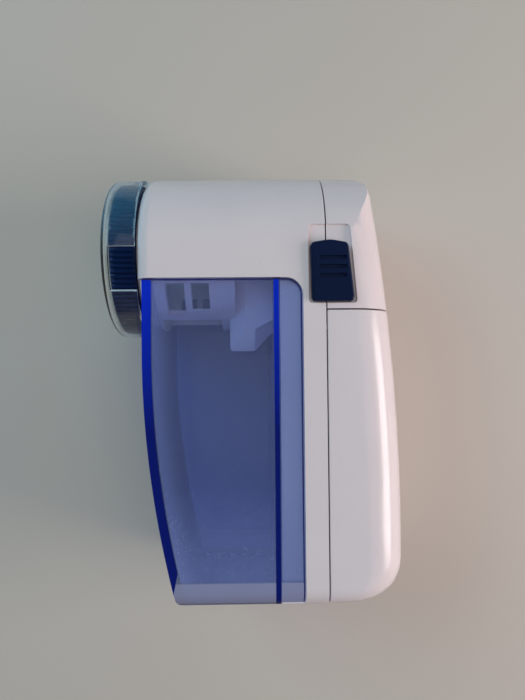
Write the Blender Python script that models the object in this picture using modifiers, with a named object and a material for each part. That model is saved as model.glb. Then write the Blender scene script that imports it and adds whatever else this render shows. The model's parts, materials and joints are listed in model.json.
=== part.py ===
"""Battery-powered fabric shaver, lying on its side.

Metres, +Z up. The shaver rests on its flat side at z = 0, with the cutting head at -X, the battery
grip at +X and the head end at +Y. The origin is at the middle of the footprint.
"""

import itertools
import math

import bmesh
import bpy
from mathutils import Matrix, Vector

# Whole body
THICK = 0.042
MID_Z = THICK / 2
HALF_LENGTH = 0.05325
HALF_WIDTH = 0.0362
WALL = 0.0018
GAP = 0.0003
SEAM_X = 0.0173
BASE_ROUND = 0.005

# Motor axis: every turned piece of the head and the motor lies on it
AXIS_Y = HALF_LENGTH - MID_Z
AXIS = Vector((0.0, AXIS_Y, MID_Z))

# Rear shells
REAR_BOW = 1.0
REAR_BOW_Y = -0.035
EDGE_ROUND = 0.010
TOP_CORNER = 0.008
BASE_CORNER = 0.0095
DOOR_TOP = 0.0166
SHELF_TOP = DOOR_TOP + GAP + WALL

# Front housing
FLANGE_X = -0.0275
FLANGE_BACK_X = -0.0263
FLANGE_ROUND = 0.0031
SHOULDER_Y = 0.02435
CHAMBER_R = 0.0192
CHAMBER_BORE = 0.0174
CHAMBER_END_X = -0.0062
BULKHEAD_X = -0.0046
NECK_X = -0.0312
NECK_R = 0.0173
NECK_BORE = 0.0159
SPINE_X = 0.0064
POCKET_X = 0.0118
POCKET_DEPTH = 0.0019
POCKET_CORNER = 0.0041
BLOCK_HALF_Z = 0.012
BLOCK_FLAT_Z = 0.0088
BLOCK_SLOPE_X = 0.0040
BLOCK_SLOPE_Y = 0.0054
BLOCK_BOTTOM_Y = 0.00725
LINT_WINDOWS = ((-0.0212, -0.0166, 0.0165), (-0.0150, -0.0106, 0.0178))

# Lint container
BIN_WALL = 0.0015
BIN_FRONT_WALL = 0.0022
BIN_FRONT_X = -0.0260
BIN_BOW = 2.2
BIN_BOW_Y = 0.008
BIN_TOP_Y = SHOULDER_Y - GAP
BIN_BASE_Y = -0.0531
BIN_BACK_X = 0.0048
BIN_BACK_WALL = 0.0013
BIN_WING_X = 0.0115
BIN_WING_CORNER = 0.0038
BIN_COLLAR_R = 0.0195
BUMP_COLUMNS = 5
BUMP_ROWS = 11
BUMP_PITCH_X = 0.0035
BUMP_PITCH_Z = 0.0024
BUMP_FIRST_X = -0.0137
BUMP_TIP_R = 0.00055
BUMP_ROOT_R = 0.0010
BUMP_HEIGHT = 0.0010
BUMP_OVAL = Matrix.Diagonal((1.5, 1.0, 0.8, 1.0))
PANEL_DEPTH = 0.0005
PANEL_MARGIN = 0.0022
PANEL_HALF_Z = 0.0134
PANEL_X = (BUMP_FIRST_X - PANEL_MARGIN, BUMP_FIRST_X + (BUMP_COLUMNS - 1) * BUMP_PITCH_X + PANEL_MARGIN)

# Cutting head
CAP_FRONT_X = -HALF_WIDTH
CAP_R = 0.0208
CAP_WALL = 0.0010
CAP_ROUND = 0.0022
CAP_SLOTS = 3
CAP_SLOT_DEG = 30
CAP_SLOT_START_DEG = 0.7
RING_FRONT_X = -0.0344
RING_BACK_X = -0.0279
RING_R = 0.01945
RING_RIDGES = 95
RIDGE_DEPTH = 0.00035
RING_BORE = 0.0177
RING_LIP_R = 0.0164
RING_LIP_BACK_X = -0.0336
FOIL_R = 0.0174
FOIL_FRONT_X = -0.0335
FOIL_THICK = 0.0003
CLAMP_FRONT_X = -0.0330
CLAMP_BACK_X = -0.0316
CLAMP_BORE = 0.0158
BLADES = 3
BLADE_FRONT_X = -0.0329
BLADE_BACK_X = -0.0302
BLADE_THICK = 0.0004
BLADE_INNER_R = 0.0034
BLADE_OUTER_R = 0.0150
HUB_FRONT_X = -0.0310
HUB_R = 0.0056
HUB_BORE = 0.0037
SLEEVE_FRONT_X = -0.0284
SLEEVE_BACK_X = -0.0180
SLEEVE_R = 0.0033

# Motor and shaft
SHAFT_R = 0.0010
SHAFT_FRONT_X = -0.0237
SHAFT_BACK_X = 0.0223
MOTOR_R = 0.0101
MOTOR_HALF_Z = 0.0077
MOTOR_FRONT_X = -0.0043
MOTOR_BACK_X = 0.0154
MOTOR_WALL = 0.0009
END_CAP_BACK_X = 0.0203
MOTOR_SCREW_OFFSET = 0.0055

# Switch
RECESS_FLOOR_Z = 0.0410
SLIDER_BOTTOM_Z = 0.04125
SLIDER_TOP_Z = 0.0432
SLIDER_BASE_Y = 0.0185
SLIDER_TOP_Y = 0.0324
SLIDER_CROWN = 0.0008
STEM_X = (0.0190, 0.0210)
STEM_Y = (0.0238, 0.0270)
GROOVES_Y = (0.0245, 0.0266, 0.0287)

# Batteries
CELL_R = 0.0072
CELL_LENGTH = 0.0492
CELL_X = 0.0244
CELL_OFFSET_Z = 0.0076
NUB_R = 0.00275
NUB_LENGTH = 0.0013
CELL_BASE_Y = (-0.0424, -0.0430)
TRAY_END_Y = (-0.0486, 0.0114)
TRAY_PLATE_X = (0.0154, 0.0168)
TRAY_HALF_Z = 0.0165
TRAY_WALL = 0.0012
CONTACT_THICK = 0.0004

# Screws, each at a Y and Z
TRAY_SCREWS = {"tray_screw_1": (-0.040, MID_Z), "tray_screw_2": (0.004, MID_Z)}
HOUSING_SCREW = (0.0492, MID_Z)
HOUSING_SCREW_SEAT_X = 0.0225

# Leads, each through its own points
LEAD_R = 0.0006
LEADS = {
    "lead_1": [
        (0.0236, 0.0257, 0.0210),
        (0.0256, 0.0242, 0.0230),
        (0.0246, 0.0232, 0.0258),
        (0.0214, 0.0233, 0.0279),
    ],
    "lead_2": [
        (0.0238, 0.0400, 0.0210),
        (0.0262, 0.0370, 0.0150),
        (0.0240, 0.0290, 0.0095),
        (0.0180, 0.0225, 0.0090),
        (0.0135, 0.0185, 0.0100),
        (0.0150, 0.0150, 0.0120),
        (0.0190, 0.0122, 0.0134),
    ],
    "lead_3": [
        (0.0202, 0.0303, 0.0275),
        (0.0240, 0.0290, 0.0275),
        (0.0245, 0.0235, 0.0285),
        (0.0175, 0.0208, 0.0285),
        (0.0130, 0.0185, 0.0295),
        (0.0150, 0.0150, 0.0295),
        (0.0190, 0.0122, 0.0286),
    ],
}

SMOOTH_ANGLE = math.radians(35)

# Local axes of a flat outline: each matrix sends local +Z to the named world axis.
ALONG = {
    "Z": Matrix.Identity(4),
    "X": Matrix(((0, 0, 1, 0), (1, 0, 0, 0), (0, 1, 0, 0), (0, 0, 0, 1))),
    "Y": Matrix(((0, 1, 0, 0), (0, 0, 1, 0), (1, 0, 0, 0), (0, 0, 0, 1))),
}


# ---------------------------------------------------------------- scene and materials


def clear_scene():
    for obj in list(bpy.data.objects):
        bpy.data.objects.remove(obj, do_unlink=True)


def new_collection(name):
    collection = bpy.data.collections.new(name)
    bpy.context.scene.collection.children.link(collection)
    return collection


def material(name, colour, roughness, metallic=0.0, alpha=1.0):
    made = bpy.data.materials.new(name)
    made.use_nodes = True
    shader = made.node_tree.nodes["Principled BSDF"]
    shader.inputs["Base Color"].default_value = (*colour, 1.0)
    shader.inputs["Roughness"].default_value = roughness
    shader.inputs["Metallic"].default_value = metallic
    shader.inputs["Alpha"].default_value = alpha
    return made


clear_scene()
PARTS = new_collection("fabric_shaver")
CUTTERS = new_collection("cutters")

WHITE = material("white_shell", (0.83, 0.82, 0.84), 0.22)
BLUE_CLEAR = material("blue_container", (0.05, 0.10, 0.55), 0.12, alpha=0.45)
CLEAR = material("clear_cap", (0.92, 0.96, 0.96), 0.05, alpha=0.25)
NAVY = material("navy_plastic", (0.012, 0.030, 0.085), 0.35)
BLACK = material("black_plastic", (0.02, 0.02, 0.022), 0.45)
STEEL = material("steel", (0.62, 0.62, 0.63), 0.28, metallic=1.0)
BRASS = material("brass", (0.72, 0.55, 0.25), 0.30, metallic=1.0)
COPPER = material("copper_winding", (0.66, 0.30, 0.14), 0.40, metallic=1.0)
MAGNET = material("magnet", (0.10, 0.10, 0.11), 0.60)
CELL = material("cell_jacket", (0.05, 0.24, 0.16), 0.35)
LEAD_RED = material("lead_red", (0.55, 0.03, 0.03), 0.45)
LEAD_BLACK = material("lead_black", (0.02, 0.02, 0.02), 0.45)


# ---------------------------------------------------------------- making helpers


def finish(obj, paint=None, cutter=False):
    """Files an object as a part with its material, or as a hidden cutter."""
    for collection in list(obj.users_collection):
        collection.objects.unlink(obj)
    (CUTTERS if cutter else PARTS).objects.link(obj)
    if cutter:
        obj.hide_render = True
        obj.display_type = "WIRE"
    if paint:
        obj.data.materials.clear()
        obj.data.materials.append(paint)
        obj.data.shade_smooth()
        obj.data.set_sharp_from_angle(angle=SMOOTH_ANGLE)
    return obj


def mesh_object(name, shape, matrix=None):
    mesh = bpy.data.meshes.new(name)
    bmesh.ops.recalc_face_normals(shape, faces=shape.faces)
    shape.to_mesh(mesh)
    shape.free()
    obj = bpy.data.objects.new(name, mesh)
    PARTS.objects.link(obj)
    if matrix:
        obj.matrix_world = matrix
    return obj


def box(name, low, high):
    shape = bmesh.new()
    bmesh.ops.create_cube(shape, size=1.0)
    low, high = Vector(low), Vector(high)
    size = high - low
    bmesh.ops.scale(shape, vec=size, verts=shape.verts)
    bmesh.ops.translate(shape, vec=(low + high) / 2, verts=shape.verts)
    return mesh_object(name, shape)


def cylinder(name, start, end, radius, y, z, segments=48):
    """A cylinder along X, from x = start to x = end."""
    shape = bmesh.new()
    bmesh.ops.create_cone(
        shape,
        cap_ends=True,
        segments=segments,
        radius1=radius,
        radius2=radius,
        depth=end - start,
    )
    place = Matrix.Translation(((start + end) / 2, y, z)) @ ALONG["X"]
    return mesh_object(name, shape, place)


def cylinder_y(name, start, end, radius, x, z, segments=32, end_radius=None):
    """A cylinder or cone along Y, from y = start to y = end."""
    shape = bmesh.new()
    bmesh.ops.create_cone(
        shape,
        cap_ends=True,
        segments=segments,
        radius1=radius,
        radius2=radius if end_radius is None else end_radius,
        depth=end - start,
    )
    place = Matrix.Translation((x, (start + end) / 2, z)) @ ALONG["Y"]
    return mesh_object(name, shape, place)


def axis_cylinder(name, start, end, radius, segments=48):
    return cylinder(name, start, end, radius, AXIS_Y, MID_Z, segments)


def turned(name, profile, segments=48):
    """Turns a closed profile of (x, radius) points about the motor axis.

    The points run along the outer side towards -X and come back along the bore.
    """
    mesh = bpy.data.meshes.new(name)
    points = [(radius, 0.0, x) for x, radius in profile]
    count = len(points)
    edges = [(i, (i + 1) % count) for i in range(count)]
    off_axis = [profile[i][1] > 0 or profile[k][1] > 0 for i, k in edges]
    mesh.from_pydata(points, list(itertools.compress(edges, off_axis)), [])
    obj = bpy.data.objects.new(name, mesh)
    PARTS.objects.link(obj)
    obj.matrix_world = Matrix.Translation(AXIS) @ ALONG["X"]
    screw = obj.modifiers.new("turn", "SCREW")
    screw.axis = "Z"
    screw.steps = segments
    screw.render_steps = segments
    screw.use_merge_vertices = True
    screw.merge_threshold = 0.00001
    return obj


def arc(centre, radius, start, end, steps):
    """Points on an arc, from one angle in degrees to another."""
    for i in range(steps + 1):
        angle = math.radians(start + (end - start) * i / steps)
        yield (centre[0] + radius * math.cos(angle), centre[1] + radius * math.sin(angle))


def rounded(corners, steps=5):
    """An outline whose corners (u, v, radius) are rounded by arcs."""
    outline = []
    count = len(corners)
    for i, (u, v, radius) in enumerate(corners):
        here = Vector((u, v))
        if radius <= 0:
            outline.append((u, v))
            continue
        before = (Vector(corners[i - 1][:2]) - here).normalized()
        after = (Vector(corners[(i + 1) % count][:2]) - here).normalized()
        half = math.acos(max(-1.0, min(1.0, before.dot(after)))) / 2
        centre = here + (before + after).normalized() * (radius / math.sin(half))
        first = here + before * (radius / math.tan(half)) - centre
        sweep = math.pi - 2 * half
        turn = math.copysign(sweep, before.cross(after) * -1)
        for k in range(steps + 1):
            point = centre + Matrix.Rotation(turn * k / steps, 2) @ first
            outline.append((point.x, point.y))
    return outline


def prism(name, outline, along, low, high, holes=()):
    """A flat outline extruded along an axis: (x, y) along Z, (y, z) along X, (z, x) along Y."""
    curve = bpy.data.curves.new(name, "CURVE")
    curve.dimensions = "2D"
    curve.fill_mode = "BOTH"
    curve.extrude = (high - low) / 2
    for ring in (outline, *holes):
        spline = curve.splines.new("POLY")
        spline.points.add(len(ring) - 1)
        for point, (u, v) in zip(spline.points, ring):
            point.co = (u, v, 0.0, 1.0)
        spline.use_cyclic_u = True
    guide = bpy.data.objects.new(name + "_outline", curve)
    PARTS.objects.link(guide)
    guide.matrix_world = ALONG[along] @ Matrix.Translation((0, 0, (low + high) / 2))
    return curve_to_mesh(guide, name, flat_ends=True)


def curve_to_mesh(guide, name, flat_ends=False):
    """Replaces a curve object by a welded mesh object, with each flat end as one face."""
    bpy.context.view_layer.update()
    graph = bpy.context.evaluated_depsgraph_get()
    mesh = bpy.data.meshes.new_from_object(guide.evaluated_get(graph))
    shape = bmesh.new()
    shape.from_mesh(mesh)
    bmesh.ops.remove_doubles(shape, verts=shape.verts, dist=1e-6)
    if flat_ends:
        bmesh.ops.dissolve_limit(shape, angle_limit=0.001, verts=[], edges=shape.edges)
    place = guide.matrix_world.copy()
    bpy.data.objects.remove(guide, do_unlink=True)
    return mesh_object(name, shape, place)


def tube(name, points, radius, sides=2):
    """A round wire through the points, with closed ends."""
    curve = bpy.data.curves.new(name, "CURVE")
    curve.dimensions = "3D"
    curve.bevel_depth = radius
    curve.bevel_resolution = sides
    curve.use_fill_caps = True
    spline = curve.splines.new("POLY")
    spline.points.add(len(points) - 1)
    for point, place in zip(spline.points, points):
        point.co = (*place, 1.0)
    guide = bpy.data.objects.new(name + "_route", curve)
    PARTS.objects.link(guide)
    return curve_to_mesh(guide, name)


def smooth_route(points, steps=6):
    """A Catmull-Rom curve through the points."""
    points = [Vector(p) for p in points]
    padded = [2 * points[0] - points[1], *points, 2 * points[-1] - points[-2]]
    route = []
    for i in range(1, len(padded) - 2):
        a, b, c, d = padded[i - 1 : i + 3]
        for k in range(steps):
            t = k / steps
            route.append(
                0.5 * (2 * b + (c - a) * t + (2 * a - 5 * b + 4 * c - d) * t**2
                       + (3 * b - a - 3 * c + d) * t**3)
            )
    route.append(points[-1])
    return route


def boolean(obj, others, operation):
    """One Boolean of all the others at once, which stay as hidden cutters."""
    name = f"{obj.name}_{operation.lower()}_{len(obj.modifiers)}"
    group = bpy.data.collections.new(name)
    CUTTERS.children.link(group)
    for other in others:
        finish(other, cutter=True)
        CUTTERS.objects.unlink(other)
        group.objects.link(other)
    modifier = obj.modifiers.new(name, "BOOLEAN")
    modifier.operation = operation
    modifier.solver = "EXACT"
    modifier.operand_type = "COLLECTION"
    modifier.collection = group
    return obj


def cut(obj, *others):
    return boolean(obj, others, "DIFFERENCE")


def join(obj, *others):
    return boolean(obj, others, "UNION")


def keep(obj, other):
    return boolean(obj, [other], "INTERSECT")


def bevel(obj, width, segments=3, angle=40):
    modifier = obj.modifiers.new("round", "BEVEL")
    modifier.width = width
    modifier.segments = segments
    modifier.limit_method = "ANGLE"
    modifier.angle_limit = math.radians(angle)
    return obj


def bevel_end(obj, end_x, width, segments):
    """Rounds only the edges that lie at one X."""
    weights = obj.data.attributes.new("bevel_weight_edge", "FLOAT", "EDGE")
    for edge in obj.data.edges:
        ends = [obj.matrix_world @ obj.data.vertices[i].co for i in edge.vertices]
        weights.data[edge.index].value = float(all(abs(p.x - end_x) < 1e-5 for p in ends))
    modifier = obj.modifiers.new("round_end", "BEVEL")
    modifier.width = width
    modifier.segments = segments
    modifier.limit_method = "WEIGHT"
    return obj


# ---------------------------------------------------------------- outlines shared by pieces


def body_section(base_y, inset=0.0, base_round=0.0):
    """Y-Z section of the body, counter-clockwise from its lower base corner."""
    radius = MID_Z - inset
    outline = []
    if base_round:
        centre = (base_y + base_round, MID_Z - radius + base_round)
        outline += list(arc(centre, base_round, 180, 270, 5))
    else:
        outline.append((base_y, MID_Z - radius))
    outline += list(arc((AXIS_Y, MID_Z), radius, -90, 90, 22))
    if base_round:
        centre = (base_y + base_round, MID_Z + radius - base_round)
        outline += list(arc(centre, base_round, 90, 180, 5))
    else:
        outline.append((base_y, MID_Z + radius))
    return outline


def corner_drop(distance, radius):
    """How far a rounded corner falls back at a distance from its end."""
    if distance >= radius:
        return 0.0
    return radius - math.sqrt(max(0.0, radius**2 - (radius - distance) ** 2))


def rear_x(y):
    """X of the rear face: a shallow bow, with a rounded corner at each end."""
    bow = HALF_WIDTH - REAR_BOW * (y - REAR_BOW_Y) ** 2
    return bow - corner_drop(HALF_LENGTH - y, TOP_CORNER) - corner_drop(
        y + HALF_LENGTH, BASE_CORNER
    )


def rear_section(y, front_x, inset):
    """X-Z ring of the rear body at a height y, rounded at both rear edges."""
    half = MID_Z - corner_drop(y + HALF_LENGTH, BASE_ROUND) - inset
    back = rear_x(y) - inset
    radius = max(0.0005, min(EDGE_ROUND - inset, 0.9 * (back - SEAM_X)))
    ring = [(front_x, MID_Z - half)]
    ring += list(arc((back - radius, MID_Z - half + radius), radius, -90, 0, 6))
    ring += list(arc((back - radius, MID_Z + half - radius), radius, 0, 90, 6))
    ring.append((front_x, MID_Z + half))
    return ring


def rear_loft(name, low_y, high_y, front_x, inset=0.0):
    """The rear body between two heights, lofted through its X-Z rings."""
    stations = []
    for end, radius, way in ((-HALF_LENGTH, BASE_CORNER, 1), (HALF_LENGTH, TOP_CORNER, -1)):
        for i in range(7):
            stations.append(end + way * radius * (1 - math.cos(math.radians(15 * i))))
    middle = [i * 0.012 - 0.036 for i in range(7)]
    inside = sorted(y for y in stations + middle if low_y + 0.0004 < y < high_y - 0.0004)
    shape = bmesh.new()
    rings = []
    for y in [low_y, *inside, high_y]:
        ring = rear_section(y, front_x, inset)
        rings.append([shape.verts.new((x, y, z)) for x, z in ring])
    skin(shape, rings)
    return mesh_object(name, shape)


def skin(shape, rings):
    """Faces between rings of vertices, with the first and the last closed."""
    for first, second in zip(rings, rings[1:]):
        for i in range(len(first)):
            k = (i + 1) % len(first)
            shape.faces.new((first[i], first[k], second[k], second[i]))
    shape.faces.new(rings[0])
    shape.faces.new(rings[-1])


def recess_outline(grow=0.0):
    return rounded(
        [
            (0.0131 - grow, 0.0182 - grow, 0.0008),
            (0.0246 + grow, 0.0182 - grow, 0.0008),
            (0.0230 + grow, 0.03695 + grow, 0.0010),
            (0.0131 - grow, 0.03695 + grow, 0.0010),
        ],
        4,
    )


# ---------------------------------------------------------------- housing


def make_front_housing():
    housing = prism(
        "front_housing",
        body_section(-HALF_LENGTH, 0.0, BASE_ROUND),
        "X",
        FLANGE_X,
        SEAM_X - GAP / 2,
    )
    bevel_end(housing, FLANGE_X, FLANGE_ROUND, 4)
    cut(housing, box("bin_space", (-0.040, -0.060, -0.001), (SPINE_X, SHOULDER_Y, THICK + 0.001)))
    join(
        housing,
        make_flange(),
        axis_cylinder("chamber", FLANGE_X + 0.0004, BULKHEAD_X + 0.0002, CHAMBER_R),
        axis_cylinder("neck", NECK_X, FLANGE_X + 0.0009, NECK_R),
        make_motor_block(),
    )
    y, z = HOUSING_SCREW
    holes = [
        axis_cylinder("chamber_bore", FLANGE_BACK_X + 0.0001, CHAMBER_END_X, CHAMBER_BORE),
        axis_cylinder("neck_bore", NECK_X - 0.001, FLANGE_BACK_X + 0.001, NECK_BORE),
        axis_cylinder("boss_hole", -0.010, 0.0, 0.0034, 30),
        *make_bays(),
        *make_wing_pockets(),
        *make_lint_windows(),
        prism("front_recess", recess_outline(), "Z", RECESS_FLOOR_Z, THICK + 0.001),
    ]
    for side in (-1, 1):
        hole_y = AXIS_Y + side * MOTOR_SCREW_OFFSET
        holes.append(cylinder(f"motor_screw_hole_{side}", -0.010, 0.0, 0.0011, hole_y, MID_Z, 16))
    cut(housing, *holes)
    posts = [cylinder("housing_post", BULKHEAD_X - 0.001, SEAM_X - 0.0006, 0.0028, y, z, 24)]
    bores = [cylinder("housing_bore", 0.006, 0.020, 0.0012, y, z, 16)]
    for name, (y, z) in TRAY_SCREWS.items():
        end = TRAY_PLATE_X[0] - GAP
        posts.append(cylinder(f"{name}_post", SPINE_X + 0.001, end, 0.0030, y, z, 24))
        bores.append(cylinder(f"{name}_bore", SPINE_X + WALL + 0.001, 0.020, 0.0011, y, z, 16))
    cut(join(housing, *posts), *bores)
    finish(housing, WHITE)


def make_bays():
    """The hollows that hold the motor and the wiring, open towards the rear shells."""
    spine_half_z = MID_Z - POCKET_DEPTH - WALL
    block_half_z = BLOCK_FLAT_Z - 0.0004
    return [
        prism(
            "motor_bay",
            body_section(SHOULDER_Y + WALL, WALL),
            "X",
            BULKHEAD_X,
            SEAM_X + 0.001,
        ),
        box(
            "block_bay",
            (BULKHEAD_X + 0.0001, BLOCK_BOTTOM_Y + WALL + 0.006, MID_Z - block_half_z),
            (SPINE_X + WALL + 0.0005, SHOULDER_Y + WALL + 0.001, MID_Z + block_half_z),
        ),
        box(
            "spine_bay",
            (SPINE_X + WALL, -HALF_LENGTH + WALL, MID_Z - spine_half_z),
            (SEAM_X + 0.002, SHOULDER_Y + WALL + 0.0005, MID_Z + spine_half_z),
        ),
    ]


def make_flange():
    """The lower crescent of the round front flange, which stands before the container."""
    centre = (FLANGE_X + FLANGE_ROUND, MID_Z - FLANGE_ROUND)
    quarter = arc(centre, FLANGE_ROUND, 180, 90, 8)
    edge = [(x + 0.00005, r) for x, r in quarter if x < FLANGE_BACK_X - 0.0003]
    back_r = centre[1] + math.sqrt(FLANGE_ROUND**2 - (FLANGE_BACK_X - centre[0]) ** 2)
    front = edge[0][0]
    profile = [(FLANGE_BACK_X, 0.0), (FLANGE_BACK_X, back_r), *reversed(edge), (front, 0.0)]
    below = box("below_shoulder", (-0.040, -0.010, -0.002), (0.0, SHOULDER_Y + 0.0007, THICK + 0.002))
    return keep(turned("flange", profile), below)


def block_outline(slope):
    """X-Y outline of the motor block, drawn in by a share of its slope."""
    left, right = CHAMBER_END_X + 0.0003 + slope * BLOCK_SLOPE_X, SPINE_X + 0.001
    bottom = BLOCK_BOTTOM_Y + slope * BLOCK_SLOPE_Y
    return rounded(
        [
            (right, SHOULDER_Y + 0.002, 0),
            (left, SHOULDER_Y + 0.002, 0),
            (left, bottom, 0.001),
            (max(left + 0.002, right - 0.007), bottom, 0.001),
            (right, bottom + 0.0075 * (1 - slope / 2), 0),
        ]
    )


def make_motor_block():
    """The box that holds the motor's underside: its edges slope, and one corner is cut back."""
    shape = bmesh.new()
    levels = ((-BLOCK_HALF_Z, 1), (-BLOCK_FLAT_Z, 0), (BLOCK_FLAT_Z, 0), (BLOCK_HALF_Z, 1))
    rings = []
    for z, slope in levels:
        rings.append([shape.verts.new((x, y, MID_Z + z)) for x, y in block_outline(slope)])
    skin(shape, rings)
    return mesh_object("motor_block", shape)


def make_wing_pockets():
    """Shallow pockets in both sides of the spine, where the container's wings lie."""
    top = SHOULDER_Y - 0.00005
    outline = rounded(
        [
            (SPINE_X - 0.002, -0.060, 0),
            (POCKET_X, -0.060, 0),
            (POCKET_X, top, POCKET_CORNER),
            (SPINE_X - 0.002, top, 0),
        ],
        6,
    )
    return [
        prism("low_pocket", outline, "Z", -0.001, POCKET_DEPTH),
        prism("high_pocket", outline, "Z", THICK - POCKET_DEPTH, THICK + 0.001),
    ]


def make_lint_windows():
    """Two side windows with a rib between them on each side, and the open outlet below."""
    outlet = ((-0.0232, 0.008, MID_Z - 0.0090), (-0.0080, AXIS_Y - 0.0145, MID_Z + 0.0090))
    windows = [box("lint_outlet", *outlet)]
    for side in (-1, 1):
        low_z, high_z = sorted((MID_Z + side * 0.0096, MID_Z + side * 0.0205))
        for k, (left, right, base) in enumerate(LINT_WINDOWS):
            window = ((left, base, low_z), (right, SHOULDER_Y - 0.0008, high_z))
            windows.append(box(f"window_{k}_{side}", *window))
    return windows


def make_rear_cover():
    cover = rear_loft("rear_cover", DOOR_TOP + GAP, HALF_LENGTH, SEAM_X + GAP / 2)
    keep(cover, prism("cover_round", body_section(0.0), "X", 0.010, 0.045))
    hollow = rear_loft("cover_hollow", SHELF_TOP, HALF_LENGTH - WALL, SEAM_X - 0.002, WALL)
    keep(hollow, prism("hollow_round", body_section(0.0, WALL), "X", 0.010, 0.045))
    y, z = HOUSING_SCREW
    cut(cover, hollow)
    boss = cylinder("cover_boss", SEAM_X + GAP / 2, HALF_WIDTH, 0.0033, y, z, 24)
    keep(boss, rear_loft("boss_limit", DOOR_TOP + GAP, HALF_LENGTH, SEAM_X - 0.001, 0.0004))
    join(cover, boss)
    cut(
        cover,
        cylinder("cover_counterbore", HOUSING_SCREW_SEAT_X - GAP, HALF_WIDTH, 0.0024, y, z, 24),
        cylinder("cover_clearance", 0.010, 0.030, 0.0013, y, z, 16),
        prism("rear_recess", recess_outline(), "Z", RECESS_FLOOR_Z, THICK + 0.001),
        box("stem_slot", (0.0186, 0.0234, 0.039), (0.0214, 0.0311, 0.043)),
    )
    finish(cover, WHITE)


def make_battery_door():
    door = rear_loft("battery_door", -HALF_LENGTH, DOOR_TOP, SEAM_X + GAP / 2)
    hollow = rear_loft("door_hollow", -HALF_LENGTH + WALL, DOOR_TOP + 0.002, SEAM_X - 0.002, WALL)
    cut(door, hollow)
    finish(door, WHITE)
    return door


# ---------------------------------------------------------------- lint container


def bin_front_x(y, inset=0.0):
    """X of the container's bowed front wall."""
    return BIN_FRONT_X + inset + BIN_BOW * max(0.0, BIN_BOW_Y - y) ** 2


def bin_outline(inset, back_x, base_y, top_y, top_corner=0.0, base_corner=0.003):
    """X-Y outline with the bowed front wall on its left."""
    steps = 12
    start = base_y + base_corner
    left = [(bin_front_x(y, inset), y) for y in
            (start + (top_y - start) * i / steps for i in range(steps + 1))]
    corner = (left[0][0] + base_corner, start)
    base_arc = list(arc(corner, base_corner, 180, 270, 5))[1:]
    outline = list(reversed(left)) + base_arc
    outline += rounded([(back_x, base_y, 0.0), (back_x, top_y, top_corner), left[-1] + (0.0,)])[:-1]
    return outline


def base_rim(inset):
    """Y-Z outline with both base edges rounded, as on the housing beside it."""
    low, high = inset, THICK - inset
    base = BIN_BASE_Y + inset
    edge = BASE_ROUND - inset
    return rounded([(base, low, edge), (0.034, low, 0), (0.034, high, 0), (base, high, edge)])


def make_lint_container():
    container = prism(
        "lint_container",
        bin_outline(0.0, BIN_WING_X, BIN_BASE_Y, BIN_TOP_Y, BIN_WING_CORNER),
        "Z",
        0.0,
        THICK,
    )
    keep(container, prism("container_edges", base_rim(0.0), "X", -0.030, 0.020))
    hollow = prism(
        "container_hollow",
        bin_outline(BIN_FRONT_WALL, BIN_BACK_X, BIN_BASE_Y + BIN_WALL, 0.030, 0.0, 0.002),
        "Z",
        BIN_WALL,
        THICK - BIN_WALL,
    )
    keep(hollow, prism("hollow_edges", base_rim(BIN_WALL), "X", -0.030, 0.020))
    cut(
        container,
        hollow,
        box(
            "spine_space",
            (BIN_BACK_X + BIN_BACK_WALL, -0.060, BIN_WALL),
            (0.020, 0.030, THICK - BIN_WALL),
        ),
        axis_cylinder("collar_space", -0.030, BIN_FRONT_X + 0.004, BIN_COLLAR_R, 64),
        box(
            "block_space",
            (0.0, BLOCK_BOTTOM_Y - 0.0005, MID_Z - BLOCK_HALF_Z - GAP),
            (0.010, 0.030, MID_Z + BLOCK_HALF_Z + GAP),
        ),
    )
    panel_low = (PANEL_X[0], -0.060, MID_Z - PANEL_HALF_Z)
    panel_high = (PANEL_X[1], BIN_BASE_Y + PANEL_DEPTH, MID_Z + PANEL_HALF_Z)
    cut(container, box("grip_panel", panel_low, panel_high))
    join(container, make_bumps())
    finish(container, BLUE_CLEAR)
    return container


def make_bumps():
    """Rows of small blunt oval studs under the container's base."""
    shape = bmesh.new()
    for column in range(BUMP_COLUMNS):
        for row in range(BUMP_ROWS):
            x = BUMP_FIRST_X + column * BUMP_PITCH_X
            z = MID_Z + (row - (BUMP_ROWS - 1) / 2) * BUMP_PITCH_Z
            place = Matrix.Translation((x, BIN_BASE_Y + PANEL_DEPTH, z)) @ BUMP_OVAL @ ALONG["Y"]
            bmesh.ops.create_cone(
                shape,
                cap_ends=True,
                segments=6,
                radius1=BUMP_TIP_R,
                radius2=BUMP_ROOT_R,
                depth=BUMP_HEIGHT,
                matrix=place,
            )
    return mesh_object("bumps", shape)


# ---------------------------------------------------------------- cutting head


def make_clear_cap():
    inner = CAP_R - CAP_WALL
    outer_arc = list(arc((CAP_FRONT_X + CAP_ROUND, CAP_R - CAP_ROUND), CAP_ROUND, 90, 180, 4))
    inner_round = CAP_ROUND - CAP_WALL
    inner_arc = list(
        arc((CAP_FRONT_X + CAP_ROUND, inner - inner_round), inner_round, 180, 90, 3)
    )
    rim_x = RING_BACK_X + 0.0001
    bead = [
        (rim_x, inner),
        (rim_x, CAP_R + 0.0002),
        (rim_x - 0.0006, CAP_R + 0.0002),
        (rim_x - 0.0009, CAP_R),
    ]
    profile = [*bead, *outer_arc, (CAP_FRONT_X, 0.0), (CAP_FRONT_X + CAP_WALL, 0.0), *inner_arc]
    cap = turned("clear_cap", profile, 50)
    for k in range(CAP_SLOTS):
        cut(cap, slot_wedge(f"cap_slot_{k}", CAP_SLOT_START_DEG + 360 * k / CAP_SLOTS))
    finish(cap, CLEAR)
    return cap


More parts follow.
